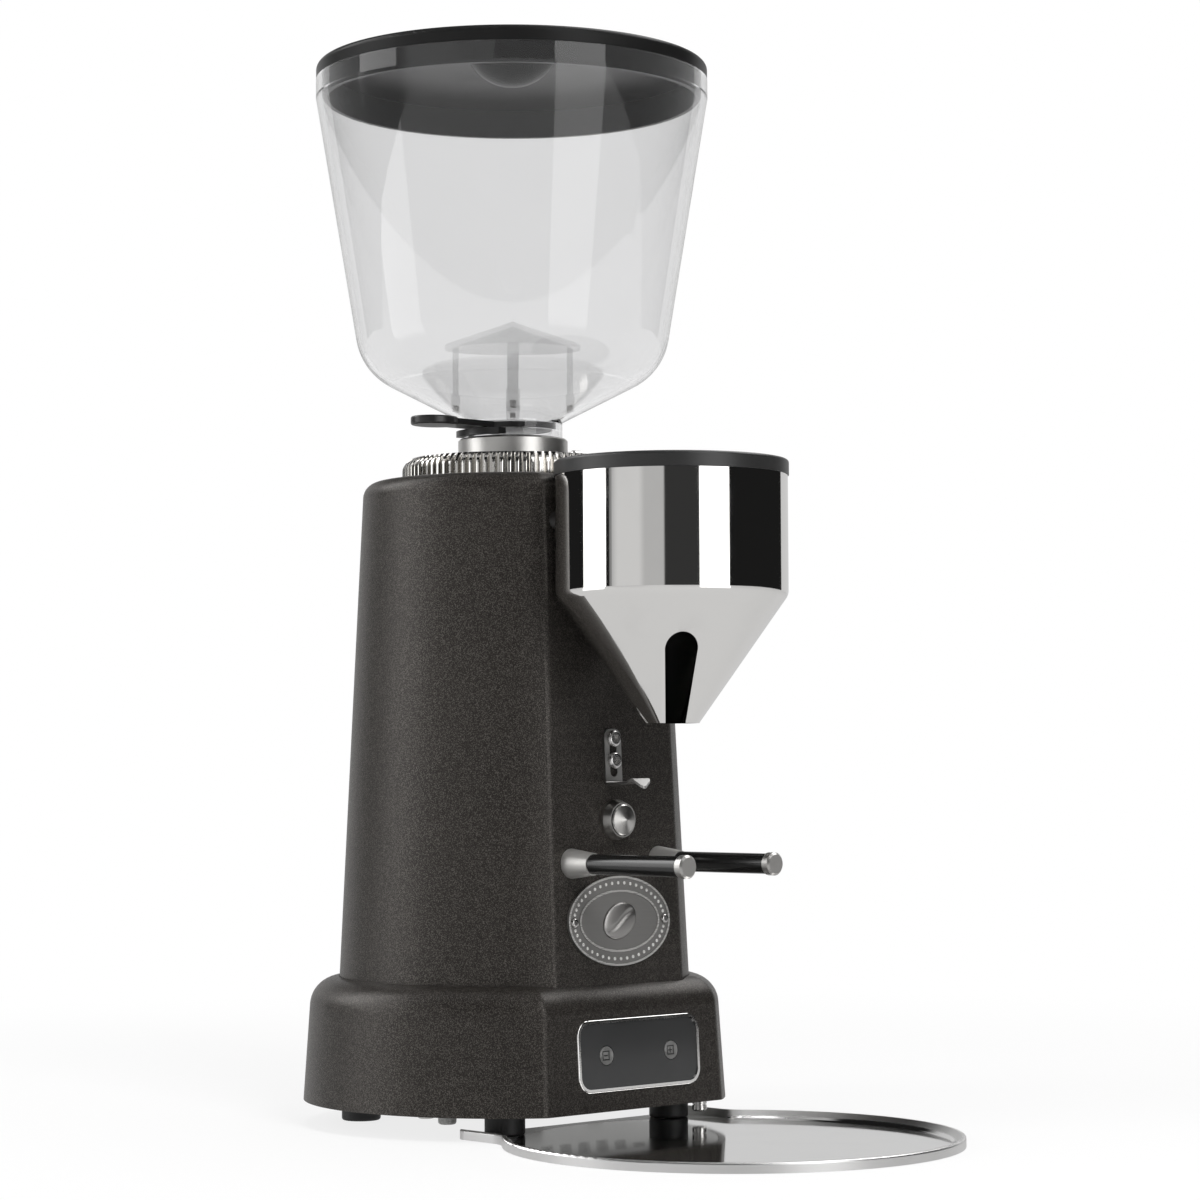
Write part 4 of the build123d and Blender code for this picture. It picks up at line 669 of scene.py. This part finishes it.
def seat_on(node: str, lean: float) -> Seat:
    """Seat in the middle of a thin node's back.

    Args:
        node: The node.
        lean: How far the face leans back, in radians.

    Returns:
        The seat.
    """
    low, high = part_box(node)
    half = (high.z - low.z) / 2
    back = high.y - half * math.sin(lean) / math.cos(lean)
    return Seat((low.x + high.x) / 2 / MM, back / MM, (low.z + high.z) / 2 / MM, lean)


def add_piece(
    name: str, mesh: bmesh.types.BMesh, body: str, material: bpy.types.Material
) -> bpy.types.Object:
    """Turn a mesh into a piece that rides on a body.

    Args:
        name: The piece's name.
        mesh: Its mesh, in metres; it is used up.
        body: The body that it rides on.
        material: Its finish.

    Returns:
        The piece.
    """
    bmesh.ops.recalc_face_normals(mesh, faces=mesh.faces)
    data = bpy.data.meshes.new(name)
    mesh.to_mesh(data)
    mesh.free()
    data.materials.append(material)
    piece = bpy.data.objects.new(name, data)
    bpy.context.scene.collection.objects.link(piece)
    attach(piece, body)
    LOG.info("made %s, %d faces", name, len(data.polygons))
    return piece


def raise_outline(
    mesh: bmesh.types.BMesh, seat: Seat, points: Sequence[Sequence[float]], low: float
) -> None:
    """Add a closed slab over an outline.

    Args:
        mesh: The mesh that it is added to.
        seat: The seat that the points lie on.
        points: Points of its top, in order round it, with their heights.
        low: Height of its underside.
    """
    top = [mesh.verts.new(seat.at(point)) for point in points]
    under = [mesh.verts.new(seat.at((point[0], point[1], low))) for point in points]
    mesh.faces.new(top)
    mesh.faces.new(under[::-1])
    for step in range(len(points)):
        after = (step + 1) % len(points)
        mesh.faces.new((top[step], under[step], under[after], top[after]))


def raise_dome(
    mesh: bmesh.types.BMesh, seat: Seat, middle_at: Sequence[float], size: Sequence[float]
) -> None:
    """Add a small closed dome.

    Args:
        mesh: The mesh that it is added to.
        seat: The seat that it stands on.
        middle_at: Its middle, with the height of its foot.
        size: Its half width, half height and rise.
    """
    x, y, foot = middle_at
    wide, high, rise = size
    sides, rows = 12, 3
    turns = [2 * math.pi * side / sides for side in range(sides)]
    rings = []
    for row in range(rows):
        share = math.pi / 2 * row / rows
        across, along = wide * math.cos(share), high * math.cos(share)
        up = foot + rise * math.sin(share)
        spots = [(x + across * math.cos(turn), y + along * math.sin(turn), up) for turn in turns]
        rings.append([mesh.verts.new(seat.at(spot)) for spot in spots])
    crown = mesh.verts.new(seat.at((x, y, foot + rise)))
    mesh.faces.new(rings[0][::-1])
    for side in range(sides):
        after = (side + 1) % sides
        for inner, outer in zip(rings[1:], rings[:-1]):
            mesh.faces.new((outer[side], outer[after], inner[after], inner[side]))
        mesh.faces.new((rings[-1][side], rings[-1][after], crown))


# ---------------------------------------------------------------- sub-assemblies
@dataclass
class Castings:
    """The base and body castings and what closes them below."""

    coat: PowderCoat = PowderCoat()
    rubber: MouldedPlastic = MouldedPlastic((0.012, 0.012, 0.012), 0.55)
    zinc: WorkedMetal = WorkedMetal((0.32, 0.32, 0.31), 0.34, Grain.LONG_X)
    steel: WorkedMetal = WorkedMetal()
    gland: MouldedPlastic = MouldedPlastic((0.014, 0.014, 0.014), 0.40)
    switch: MouldedPlastic = MouldedPlastic((0.52, 0.52, 0.51), 0.32)

    def build(self) -> None:
        """Dress the castings."""
        coat = self.coat.make("anthracite_coat")
        dress("base_housing", coat)
        dress("body_housing", coat)
        dress("underside_plate", self.zinc.make("zinc_plate"))
        steel = self.steel.make("stud_steel")
        dress("plate_screws", steel)
        dress("lock_stud", steel)
        dress("rubber_feet", self.rubber.make("foot_rubber"))
        dress("cord_gland", self.gland.make("gland_nylon"))
        dress("power_switch", self.switch.make("switch_grey"))


@dataclass
class Display:
    """The display unit on the base's front; lengths in millimetres."""

    lean: float = DISPLAY_LEAN
    dish_r: float = 13.63
    dish: float = 0.6
    rim: float = 2.5
    box: float = 2.05
    bar: float = 1.15
    line: float = 0.48
    ink_rise: float = 0.06
    key_rise: float = 1.1

    def strip(
        self, mesh: bmesh.types.BMesh, seat: Seat, start: Sequence[float], end: Sequence[float]
    ) -> None:
        """Add one printed line that follows the key's dish.

        Args:
            mesh: The mesh that it is added to.
            seat: The seat at the key's middle.
            start: Lower left corner.
            end: Upper right corner.
        """
        steps = 4
        near, far = [], []
        along = 0 if end[0] - start[0] > end[1] - start[1] else 1
        for step in range(steps + 1):
            spot = start[along] + (end[along] - start[along]) * step / steps
            for side, edge in ((near, start), (far, end)):
                point = (spot, edge[1]) if along == 0 else (edge[0], spot)
                deep = -self.dish + (point[0] ** 2 + point[1] ** 2) / (2 * self.dish_r)
                side.append((*point, deep + self.ink_rise))
        for step in range(steps):
            ring = [near[step], near[step + 1], far[step + 1], far[step]]
            raise_outline(mesh, seat, ring, min(point[2] for point in ring) - 2 * self.ink_rise)

    def key_seat(self, node: str) -> Seat:
        """Seat in the middle of a key's face.

        Args:
            node: The key's node.

        Returns:
            The seat.
        """
        low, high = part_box(node)
        half = (high.z - low.z) / 2 / MM
        lean = math.sin(self.lean)
        return Seat(
            (low.x + high.x) / 2 / MM,
            low.y / MM + half * lean,
            (low.z + high.z) / 2 / MM + self.key_rise * lean,
            self.lean,
        )

    def build(self) -> None:
        """Dress the display and print its two keys."""
        dress("display_bezel", PolishedMetal(roughness=0.06).make("bezel_chrome"))
        smoked = MouldedPlastic((0.030, 0.0305, 0.031), 0.20, 0.4 * MM, 0.002 * MM, 0.5)
        dress("display_panel", smoked.make("smoked_panel"))
        key_tint = MouldedPlastic((0.17, 0.17, 0.166), 0.24, 0.4 * MM, 0.002 * MM, 0.5).make("key_grey")
        ink = MouldedPlastic((0.006, 0.006, 0.006), 0.5).make("key_ink")
        for node, body in (("minus_key", "minus"), ("plus_key", "plus")):
            dress(node, key_tint)
            seat = self.key_seat(node)
            mesh = bmesh.new()
            out, inside = self.box, self.box - self.line
            self.strip(mesh, seat, (-out, -out), (out, -inside))
            self.strip(mesh, seat, (-out, inside), (out, out))
            self.strip(mesh, seat, (-out, -inside), (-inside, inside))
            self.strip(mesh, seat, (inside, -inside), (out, inside))
            thin = self.line / 2
            self.strip(mesh, seat, (-self.bar, -thin), (self.bar, thin))
            if body == "plus":
                self.strip(mesh, seat, (-thin, thin), (thin, self.bar))
                self.strip(mesh, seat, (-thin, -self.bar), (thin, -thin))
            add_piece(f"{node}_print", mesh, body, ink)


@dataclass
class FrontFittings:
    """Button, clip, fork and badge rivets on the body's front."""

    steel: Colour = (0.60, 0.59, 0.57)
    tip_steel: Colour = (0.50, 0.49, 0.475)
    strip_steel: Colour = (0.42, 0.415, 0.405)
    tip_r: float = 4.95 * MM

    def turned(
        self, colour: Colour, roughness: float, centre: tuple[float, float], metallic: float = 1.0
    ) -> WorkedMetal:
        """Steel turned about an axis to the front.

        Args:
            colour: Its colour.
            roughness: Its roughness.
            centre: The axis's x and z, in metres.
            metallic: Its share of metal.

        Returns:
            The finish.
        """
        return WorkedMetal(colour, roughness, Grain.ROUND_Y, 0.3 * MM, 0.002 * MM, centre, metallic)

    def build(self) -> None:
        """Dress the front fittings."""
        button = middle("push_button")
        bright = self.turned(self.steel, 0.30, (button.x, button.z))
        dress("push_button", bright.make("button_steel"))
        dress("button_bezel", bright.make("bezel_steel"))
        spring = WorkedMetal(self.strip_steel, 0.42, Grain.LONG_Z)
        dress("portafilter_clip", spring.make("spring_strip"))
        dress("clip_screws", WorkedMetal((0.6, 0.59, 0.58), 0.26).make("clip_screw_steel"))
        low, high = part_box("fork_tips")
        centre = (high.x - self.tip_r, (low.z + high.z) / 2)
        tip = self.turned(self.tip_steel, 0.30, centre, 0.85)
        dress("fork_tips", tip.make("fork_tip_steel"))
        root = self.turned(self.steel, 0.40, centre, 0.7)
        dress("fork_rods", root.make("fork_root_steel"))
        sleeve = MouldedPlastic((0.006, 0.006, 0.006), 0.22, 0.5 * MM, 0.002 * MM, 0.15)
        dress("fork_sleeves", sleeve.make("sleeve_black"))
        dress("badge_rivets", WorkedMetal((0.5, 0.49, 0.48), 0.2).make("rivet_steel"))


@dataclass
class Badge:
    """Oval badge with a plain ornament, a ring of beads round a coffee bean; lengths in millimetres."""

    lean: float = FRONT_LEAN
    thick: float = 1.3
    field: float = 0.9
    bead_ring: tuple[float, float] = (27.2, 16.5)
    beads: int = 46
    rivet_gap: float = 3.2
    bead: tuple[float, float, float] = (0.75, 0.75, 0.55)
    bean: tuple[float, float, float] = (10.5, 7.6, 1.5)
    bean_tilt: float = 24.0
    crease: float = 0.8
    crease_wide: float = 0.13
    sunk: float = 0.05
    brush: tuple[float, float, float] = (14, 6000, 6000)
    gunmetal: tuple[Colour, Colour] = ((0.20, 0.196, 0.19), (0.29, 0.284, 0.275))
    bright: Colour = (0.66, 0.65, 0.63)

    def plate_finish(self, seat: Seat) -> bpy.types.Material:
        """Gunmetal with a bright rim and a bright inner line, where the plate is raised.

        Args:
            seat: The badge's seat.

        Returns:
            The finish.
        """
        shader = Shader("badge_gunmetal")
        marks = shader.noise(1.0, 2.0, shader.stretched(self.brush))
        raised = seat.height(shader).above((self.thick - 0.25) * MM, (self.thick - 0.1) * MM)
        dark = shader.blend(marks * 0.6, *self.gunmetal)
        return shader.finish(
            Base_Color=shader.blend(raised, dark, self.bright),
            Metallic=0.7,
            Roughness=marks * 0.12 + (0.42 - raised * 0.2),
            Normal=shader.bump(marks, 0.006 * MM),
        )

    def bean_mesh(self, seat: Seat) -> bmesh.types.BMesh:
        """Domed bean with a curved crease along it.

        Args:
            seat: The badge's seat.

        Returns:
            The mesh.
        """
        half_w, half_h, rise = self.bean
        tilt = math.radians(self.bean_tilt)
        sides, rows = 56, 16
        mesh = bmesh.new()
        rings = []
        for row in range(rows):
            spread = 1 - row / rows
            ring = []
            for side in range(sides):
                turn = 2 * math.pi * side / sides
                x, y = spread * math.cos(turn), spread * math.sin(turn)
                off = abs(y - 0.16 * math.sin(2.6 * x))
                cut = math.exp(-((off / self.crease_wide) ** 2)) * (1 - x**6)
                height = rise * math.sqrt(max(0.0, 1 - spread**2.4)) - self.crease * cut * (1 - spread**8)
                wide, high = half_w * x, half_h * y
                across = wide * math.cos(tilt) - high * math.sin(tilt)
                up = wide * math.sin(tilt) + high * math.cos(tilt)
                out = self.field + max(self.sunk, height) - self.sunk
                ring.append(mesh.verts.new(seat.at((across, up, out))))
            rings.append(ring)
        crown = mesh.verts.new(seat.at((0, 0, self.field + rise - self.crease)))
        mesh.faces.new(rings[0][::-1])
        for side in range(sides):
            after = (side + 1) % sides
            for outer, inner in zip(rings[:-1], rings[1:]):
                mesh.faces.new((outer[side], outer[after], inner[after], inner[side]))
            mesh.faces.new((rings[-1][side], rings[-1][after], crown))
        for face in mesh.faces:
            face.smooth = len(face.verts) < 5
        return mesh

    def build(self) -> None:
        """Dress the plate and add its beads and bean."""
        seat = seat_on("badge_plate", self.lean)
        dress("badge_plate", self.plate_finish(seat))
        beads = bmesh.new()
        for step in range(self.beads):
            turn = 2 * math.pi * (step + 0.5) / self.beads
            x, y = self.bead_ring[0] * math.cos(turn), self.bead_ring[1] * math.sin(turn)
            if abs(y) > self.rivet_gap:
                raise_dome(beads, seat, (x, y, self.field - 0.02), self.bead)
        bright = WorkedMetal((0.78, 0.77, 0.75), 0.30, Grain.LONG_X, metallic=0.7)
        add_piece("badge_beads", beads, "grinder_frame", bright.make("bead_steel"))
        satin = WorkedMetal((0.40, 0.39, 0.38), 0.42, Grain.LONG_X).make("ornament_steel")
        add_piece("badge_bean", self.bean_mesh(seat), "grinder_frame", satin)


@dataclass
class FunnelSet:
    """The outlet funnel and its lid."""

    def build(self) -> None:
        """Dress the funnel."""
        dress("funnel", PolishedMetal().make("funnel_mirror"))
        dress("funnel_lid", MouldedPlastic().make("funnel_lid_black"))
        dress("funnel_magnets", MouldedPlastic((0.016, 0.014, 0.013), 0.5).make("magnet_cover"))


@dataclass
class AdjustingRing:
    """Setting ring with upright grooves and a bevelled top; lengths in millimetres."""

    teeth: int = 90
    samples: int = 10
    root_r: float = 47.3
    bore_r: float = 42.5
    bevel_in: float = 3.3
    bevel_down: float = 5.0
    bevel_rows: tuple[float, ...] = (3.9, 2.8, 1.8, 0.9, 0.0)
    share: float = 0.52
    flank: float = 0.32

    def radius(self, turn: float, below_top: float, outer: float) -> float:
        """Radius of the outside.

        Args:
            turn: Place within a tooth, from 0 to 1, with the tooth in the middle.
            below_top: Depth below the top, in millimetres.
            outer: The ring's largest radius, in millimetres.

        Returns:
            The radius, in millimetres.
        """
        off = abs(turn - 0.5) * 2
        rise = min(1.0, max(0.0, (self.share + self.flank / 2 - off) / self.flank))
        tooth = self.root_r + (outer - self.root_r) * rise * rise * (3 - 2 * rise)
        left = min(1.0, below_top / self.bevel_down)
        bevel = outer - self.bevel_in * (1 - math.sin(left * math.pi / 2) ** 0.9)
        return min(tooth, bevel)

    def build(self) -> None:
        """Build the ring in place of its plain solid."""
        low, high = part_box("adjusting_ring")
        axis = middle("adjusting_ring")
        outer, tall = (high.x - low.x) / 2 / MM, (high.z - low.z) / MM
        depths = (tall, self.bevel_down, *self.bevel_rows)
        mesh = bmesh.new()
        count = self.teeth * self.samples
        levels = [(depth, None) for depth in depths] + [(0.0, self.bore_r), (tall, self.bore_r)]
        rings = []
        for depth, fixed in levels:
            ring = []
            for step in range(count):
                turn = 2 * math.pi * step / count
                reach = (fixed or self.radius(step / self.samples % 1.0, depth, outer)) * MM
                x, y = axis.x + reach * math.cos(turn), axis.y + reach * math.sin(turn)
                ring.append(mesh.verts.new((x, y, high.z - depth * MM)))
            rings.append(ring)
        for lower, upper in zip(rings, rings[1:] + rings[:1]):
            for step in range(count):
                after = (step + 1) % count
                mesh.faces.new((lower[step], lower[after], upper[after], upper[step]))
        chrome = PolishedMetal((0.66, 0.645, 0.62), 0.14).make("ring_chrome")
        ring_piece = add_piece("ring_grooved", mesh, "ring", chrome)
        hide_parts("adjusting_ring")


@dataclass
class Hopper:
    """Collar, hopper, gate, guard and lid."""

    black: Colour = (0.011, 0.011, 0.011)

    def build(self) -> None:
        """Dress the collar and the hopper."""
        axis = middle("adjusting_ring")
        satin = WorkedMetal((0.66, 0.65, 0.63), 0.36, Grain.ROUND_Z, centre=(axis.x, axis.y))
        dress("hopper_collar", satin.make("collar_satin"))
        dress("hopper_lock_screw", WorkedMetal((0.55, 0.54, 0.53), 0.26).make("lock_screw_steel"))
        dress("hopper", ClearPlastic().make("hopper_clear"))
        guard = MouldedPlastic((0.86, 0.86, 0.865), 0.20, 0.5 * MM, 0.002 * MM, shine=0.3, cover=0.21)
        dress("finger_guard", guard.make("guard_frosted"))
        dress("hopper_lid", MouldedPlastic(self.black, 0.34, shine=0.1).make("lid_black"))
        black = MouldedPlastic(self.black, 0.34).make("gate_black")
        dress("gate_slide", black)
        dress("gate_guide", black)
        dress("guard_screws", WorkedMetal((0.62, 0.61, 0.6), 0.4).make("guard_screw_steel"))


@dataclass
class Tray:
    """The steel tray."""

    radius: float = 97.2 * MM
    flat_r: float = 92.6 * MM

    def build(self) -> None:
        """Dress the tray."""
        low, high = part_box("tray")
        centre = ((low.x + high.x) / 2, low.y + self.radius)
        mirror = PolishedMetal((0.74, 0.735, 0.73), 0.06, centre=centre, rim_r=self.flat_r, rim_rough=0.26)
        dress("tray", mirror.make("tray_mirror"))


@dataclass
class Inside:
    """Motor, burrs and electrics inside the castings."""

    def build(self) -> None:
        """Dress the inner pieces."""
        axis = middle("adjusting_ring")
        centre = (axis.x, axis.y)
        cast = CastAlloy().make("cast_alloy")
        for node in ("upper_shield", "lower_shield", "grind_chamber", "coffee_chute", "lower_burr_carrier"):
            dress(node, cast)
        carrier = WorkedMetal((0.55, 0.55, 0.54), 0.32, centre=centre)
        dress("upper_burr_carrier", carrier.make("carrier_turned"))
        steel = WorkedMetal(centre=centre).make("inner_steel")
        for node in (
            "upper_bearing",
            "lower_bearing",
            "motor_bolts",
            "motor_rotor",
            "lower_burr_screws",
            "upper_burr_screws",
            "carrier_nut",
        ):
            dress(node, steel)
        burr = WorkedMetal((0.5, 0.5, 0.5), 0.28, centre=centre).make("burr_ground")
        dress("lower_burr", burr)
        dress("upper_burr", burr)
        sheets = Layered((0.36, 0.36, 0.37), (0.12, 0.12, 0.13), 0.9 * MM)
        dress("motor_stator", sheets.make("stator_sheets"))
        wire = Layered((0.62, 0.27, 0.11), (0.2, 0.08, 0.03), 1.0 * MM)
        dress("motor_windings", wire.make("winding_wire"))
        black = MouldedPlastic((0.02, 0.02, 0.022), 0.45).make("inner_black")
        for node in ("cooling_fan", "switch_case", "start_switch"):
            dress(node, black)
        board = MouldedPlastic((0.02, 0.13, 0.05), 0.30).make("board_green")
        dress("control_board", board)
        dress("display_board", board)
        dress("run_capacitor", WorkedMetal((0.6, 0.6, 0.59), 0.30, Grain.LONG_X).make("capacitor_can"))


# ---------------------------------------------------------------- studio
@dataclass(frozen=True)
class Panel:
    """A soft box or dark flag round the object, as bright metal and clear plastic show it."""

    start: float
    end: float
    strength: float
    low: float = -20.0
    high: float = 62.0
    edge: float = 1.2
    fade: float = 5.0

    def round(self, turn: Field) -> Field:
        """Mask of the directions round the object that the panel covers, which are in radians."""
        start, end, edge = (math.radians(angle) for angle in (self.start, self.end, self.edge))
        return turn.above(start, start + edge) * (1.0 - turn.above(end - edge, end))

    def upright(self, rise: Field) -> Field:
        """Mask of the directions above the floor that the panel covers, which are in radians."""
        low, high, fade = (math.radians(angle) for angle in (self.low, self.high, self.fade))
        return rise.above(low, low + fade) * (1.0 - rise.above(high - 2 * fade, high))

    def over(self, glow: Number, inside: Field) -> Field:
        """Lay the panel over what is behind it.

        Args:
            glow: Brightness behind the panel.
            inside: Mask of what the panel covers.

        Returns:
            The brightness with the panel.
        """
        return inside * self.strength + (1.0 - inside) * glow


@dataclass(frozen=True)
class SoftBox:
    """A lamp that bright metal and clear plastic don't show: lengths in metres, power in watts."""

    name: str
    place: tuple[float, float, float]
    aim: tuple[float, float, float]
    size: tuple[float, float]
    power: float

    def build(self) -> None:
        """Add the lamp."""
        data = bpy.data.lights.new(self.name, "AREA")
        data.shape = "RECTANGLE"
        data.size, data.size_y = self.size
        data.energy = self.power
        lamp = bpy.data.objects.new(self.name, data)
        lamp.visible_glossy = lamp.visible_transmission = lamp.visible_camera = False
        bpy.context.scene.collection.objects.link(lamp)
        turned = (Vector(self.aim) - Vector(self.place)).to_track_quat("-Z", "Y")
        lamp.matrix_world = Matrix.Translation(Vector(self.place)) @ turned.to_matrix().to_4x4()


def tilted(first: Vector, second: Vector, degrees: float) -> tuple[Vector, Vector]:
    """Turn two square directions in their own plane.

    Args:
        first: A direction.
        second: The direction that the first turns towards.
        degrees: How far.

    Returns:
        Both directions, turned.
    """
    cos, sin = math.cos(math.radians(degrees)), math.sin(math.radians(degrees))
    return first * cos + second * sin, second * cos - first * sin


@dataclass
class Studio:
    """Camera, floor, world and lamps.

    The world shows dark between the panels in a reflection, white behind the object and haze through clear
    plastic, and lights matt surfaces with fill.
    """

    dark: float = 0.012
    white: float = 1.0
    haze: float = 0.80
    fill: float = 0.30
    floor_half: float = 6.0
    floor_under: float = -0.2 * MM
    floor_white: float = 0.80
    # Painted glow that the floor shows in reflections instead of being lit: its level between the bands, its
    # share of the floor's look there, and the panel rise below which bands are painted on it.
    floor_glow: float = 0.66
    painted_glow_share: float = 0.85
    floor_rise: float = 12.0
    white_from: tuple[float, float] = (0.25, 0.9)
    # Distance from the object over which the painted soft-box bands fade in.
    painted_boxes_from: tuple[float, float] = (0.7, 1.4)
    pale: tuple[Colour, Colour] = ((0.93, 0.93, 0.93), (0.95, 0.95, 0.95))
    panels: tuple[Panel, ...] = (
        Panel(-185.0, 185.0, 0.5, low=60.0, high=120.0),
        Panel(-181.0, -176.0, 0.67, high=40.0),
        Panel(-170.0, -137.0, 4.8, low=14.0, high=56.0, edge=4.0),
        Panel(-22.0, 8.0, 3.6, low=14.0, high=44.0, edge=4.0),
        Panel(-109.0, -50.0, 0.26, high=24.0),
        Panel(-106.5, -51.5, 0.52, high=24.0, edge=1.6),
        Panel(-106.5, -70.0, 0.70, high=24.0, edge=8.0),
        Panel(-142.0, -112.0, 2.6, low=-1.0, high=40.0, fade=3.0),
        Panel(-52.0, -18.0, 0.038, high=24.0, edge=1.0),
        Panel(-18.0, 14.0, 2.8),
        Panel(45.0, 125.0, 4.2, low=36.0, high=80.0, edge=6.0),
        Panel(92.0, 181.0, 0.67, high=30.0),
    )
    soft_boxes: tuple[SoftBox, ...] = (
        SoftBox("left_box", (-1.5, 0.7, 0.8), (0, 0, 0.25), (0.6, 1.6), 13),
        SoftBox("high_box", (-0.41, -1.13, 1.30), (0, 0, 0.2), (0.5, 0.5), 15),
        SoftBox("top_box", (0.1, 0.2, 1.9), (0, 0, 0.2), (1.2, 1.2), 12),
    )

    focal_px: float = 3224.26
    image_px: float = 1200.0
    sensor_mm: float = 36.0
    azimuth: float = -42.08
    distance: float = 1462.54 * MM
    height: float = 160.65 * MM
    yaw: float = 1.54
    pitch: float = 2.87
    roll: float = -0.24
    clip: tuple[float, float] = (0.05, 30.0)

    def camera(self) -> None:
        """Set the camera at the viewing angle, aimed near the burr axis."""
        axis = middle("adjusting_ring")
        turn = math.radians(self.azimuth)
        ahead = Vector((-math.sin(turn), math.cos(turn), 0))
        right = Vector((math.cos(turn), math.sin(turn), 0))
        up = Vector((0, 0, 1))
        place = Vector((axis.x, axis.y, self.height)) - ahead * self.distance
        ahead, right = tilted(ahead, right, self.yaw)
        ahead, up = tilted(ahead, up, self.pitch)
        right, up = tilted(right, up, self.roll)
        data = bpy.data.cameras.new("camera")
        data.sensor_width = self.sensor_mm
        data.sensor_fit = "HORIZONTAL"
        data.lens = self.focal_px / self.image_px * self.sensor_mm
        data.clip_start, data.clip_end = self.clip
        camera = bpy.data.objects.new("camera", data)
        bpy.context.scene.collection.objects.link(camera)
        rows = Matrix((right, up, -ahead)).transposed()
        camera.matrix_world = Matrix.Translation(place) @ rows.to_4x4()
        bpy.context.scene.camera = camera

    def world(self) -> None:
        """White behind the object, panels and dark flags in its reflections, and even fill light."""
        world = bpy.data.worlds.new("studio")
        bpy.context.scene.world = world
        shader = Shader("studio", world)
        way = shader.add("ShaderNodeTexCoord", output="Generated")
        turn = shader.turn(way)
        rise = shader.add("ShaderNodeMath", {"operation": "ARCSINE"}, {0: shader.part(way, "Z"), 1: 0.0})
        glow: Number = self.dark
        for panel in self.panels:
            glow = panel.over(glow, panel.round(turn) * panel.upright(rise))
        straight = 1.0 - shader.add("ShaderNodeLightPath", output="Diffuse Depth").above(0.4, 0.6)
        through = shader.add("ShaderNodeLightPath", output="Transmission Depth").above(0.4, 0.6) * straight
        mirrored = shader.seen_by("Is Glossy Ray") * (1.0 - through)
        plain = shader.seen_by("Is Camera Ray") * self.white + through * self.haze
        unlit = (1.0 - shader.seen_by("Is Camera Ray", "Is Glossy Ray")) * (1.0 - through)
        level = mirrored * glow + plain + unlit * self.fill
        shader.end(shader.add("ShaderNodeBackground", None, {"Color": (1, 1, 1, 1), "Strength": level}))

    def floor(self) -> None:
        """Pale floor that shows white far from the object and keeps the object's soft shadow; in reflections
        it glows with painted soft-box bands.
        """
        mesh = bpy.data.meshes.new("floor")
        half = self.floor_half
        corners = ((-half, -half), (half, -half), (half, half), (-half, half))
        mesh.from_pydata([(x, y, self.floor_under) for x, y in corners], [], [(0, 1, 2, 3)])
        floor = bpy.data.objects.new("floor", mesh)
        bpy.context.scene.collection.objects.link(floor)
        shader = Shader("floor_pale")
        tint = shader.blend(shader.noise(0.4, 2.0), *self.pale)
        matt = shader.principled(Base_Color=tint, Roughness=0.6, Specular_IOR_Level=0.1)
        white = shader.add("ShaderNodeEmission", None, {"Color": (1, 1, 1, 1), "Strength": 1.0})
        # Painted reflection: the bright low panels are painted on the floor as glowing soft-box bands round
        # the object, seen only by glossy rays, and faded in away from the object.
        turn = shader.turn(shader.place())
        glow: Number = self.floor_glow
        for panel in self.panels:
            if panel.strength > 1.0 and panel.low < self.floor_rise:
                glow = panel.over(glow, panel.round(turn))
        away = shader.radius((0, 0))
        apart = away.above(*self.painted_boxes_from)
        glow = glow * apart + (1.0 - apart) * self.floor_glow
        painted_boxes = shader.add("ShaderNodeEmission", None, {"Color": (1, 1, 1, 1), "Strength": glow})
        whiter = away.above(*self.white_from) * (1.0 - self.floor_white) + self.floor_white
        seen = shader.seen_by("Is Camera Ray", "Is Transmission Ray") * whiter
        mirrored = shader.seen_by("Is Glossy Ray") * self.painted_glow_share
        # Glossy rays see mostly the painted glow, and camera rays mostly white.
        under = shader.add("ShaderNodeMixShader", None, {0: mirrored, 1: matt, 2: painted_boxes})
        surface = shader.add("ShaderNodeMixShader", None, {0: seen, 1: under, 2: white})
        mesh.materials.append(shader.end(surface))

    def build(self) -> None:
        """Set up the whole studio."""
        self.camera()
        self.world()
        self.floor()
        for box in self.soft_boxes:
            box.build()
        bpy.context.scene.view_settings.view_transform = "Standard"


def main() -> None:
    """Build the sub-assemblies and the studio."""
    logging.basicConfig(level=logging.INFO, format="%(message)s")
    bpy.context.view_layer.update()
    front = (Castings(), Display(), FrontFittings(), Badge(), FunnelSet())
    for part in (*front, AdjustingRing(), Hopper(), Tray(), Inside(), Studio()):
        part.build()


if __name__ == "__main__":
    main()
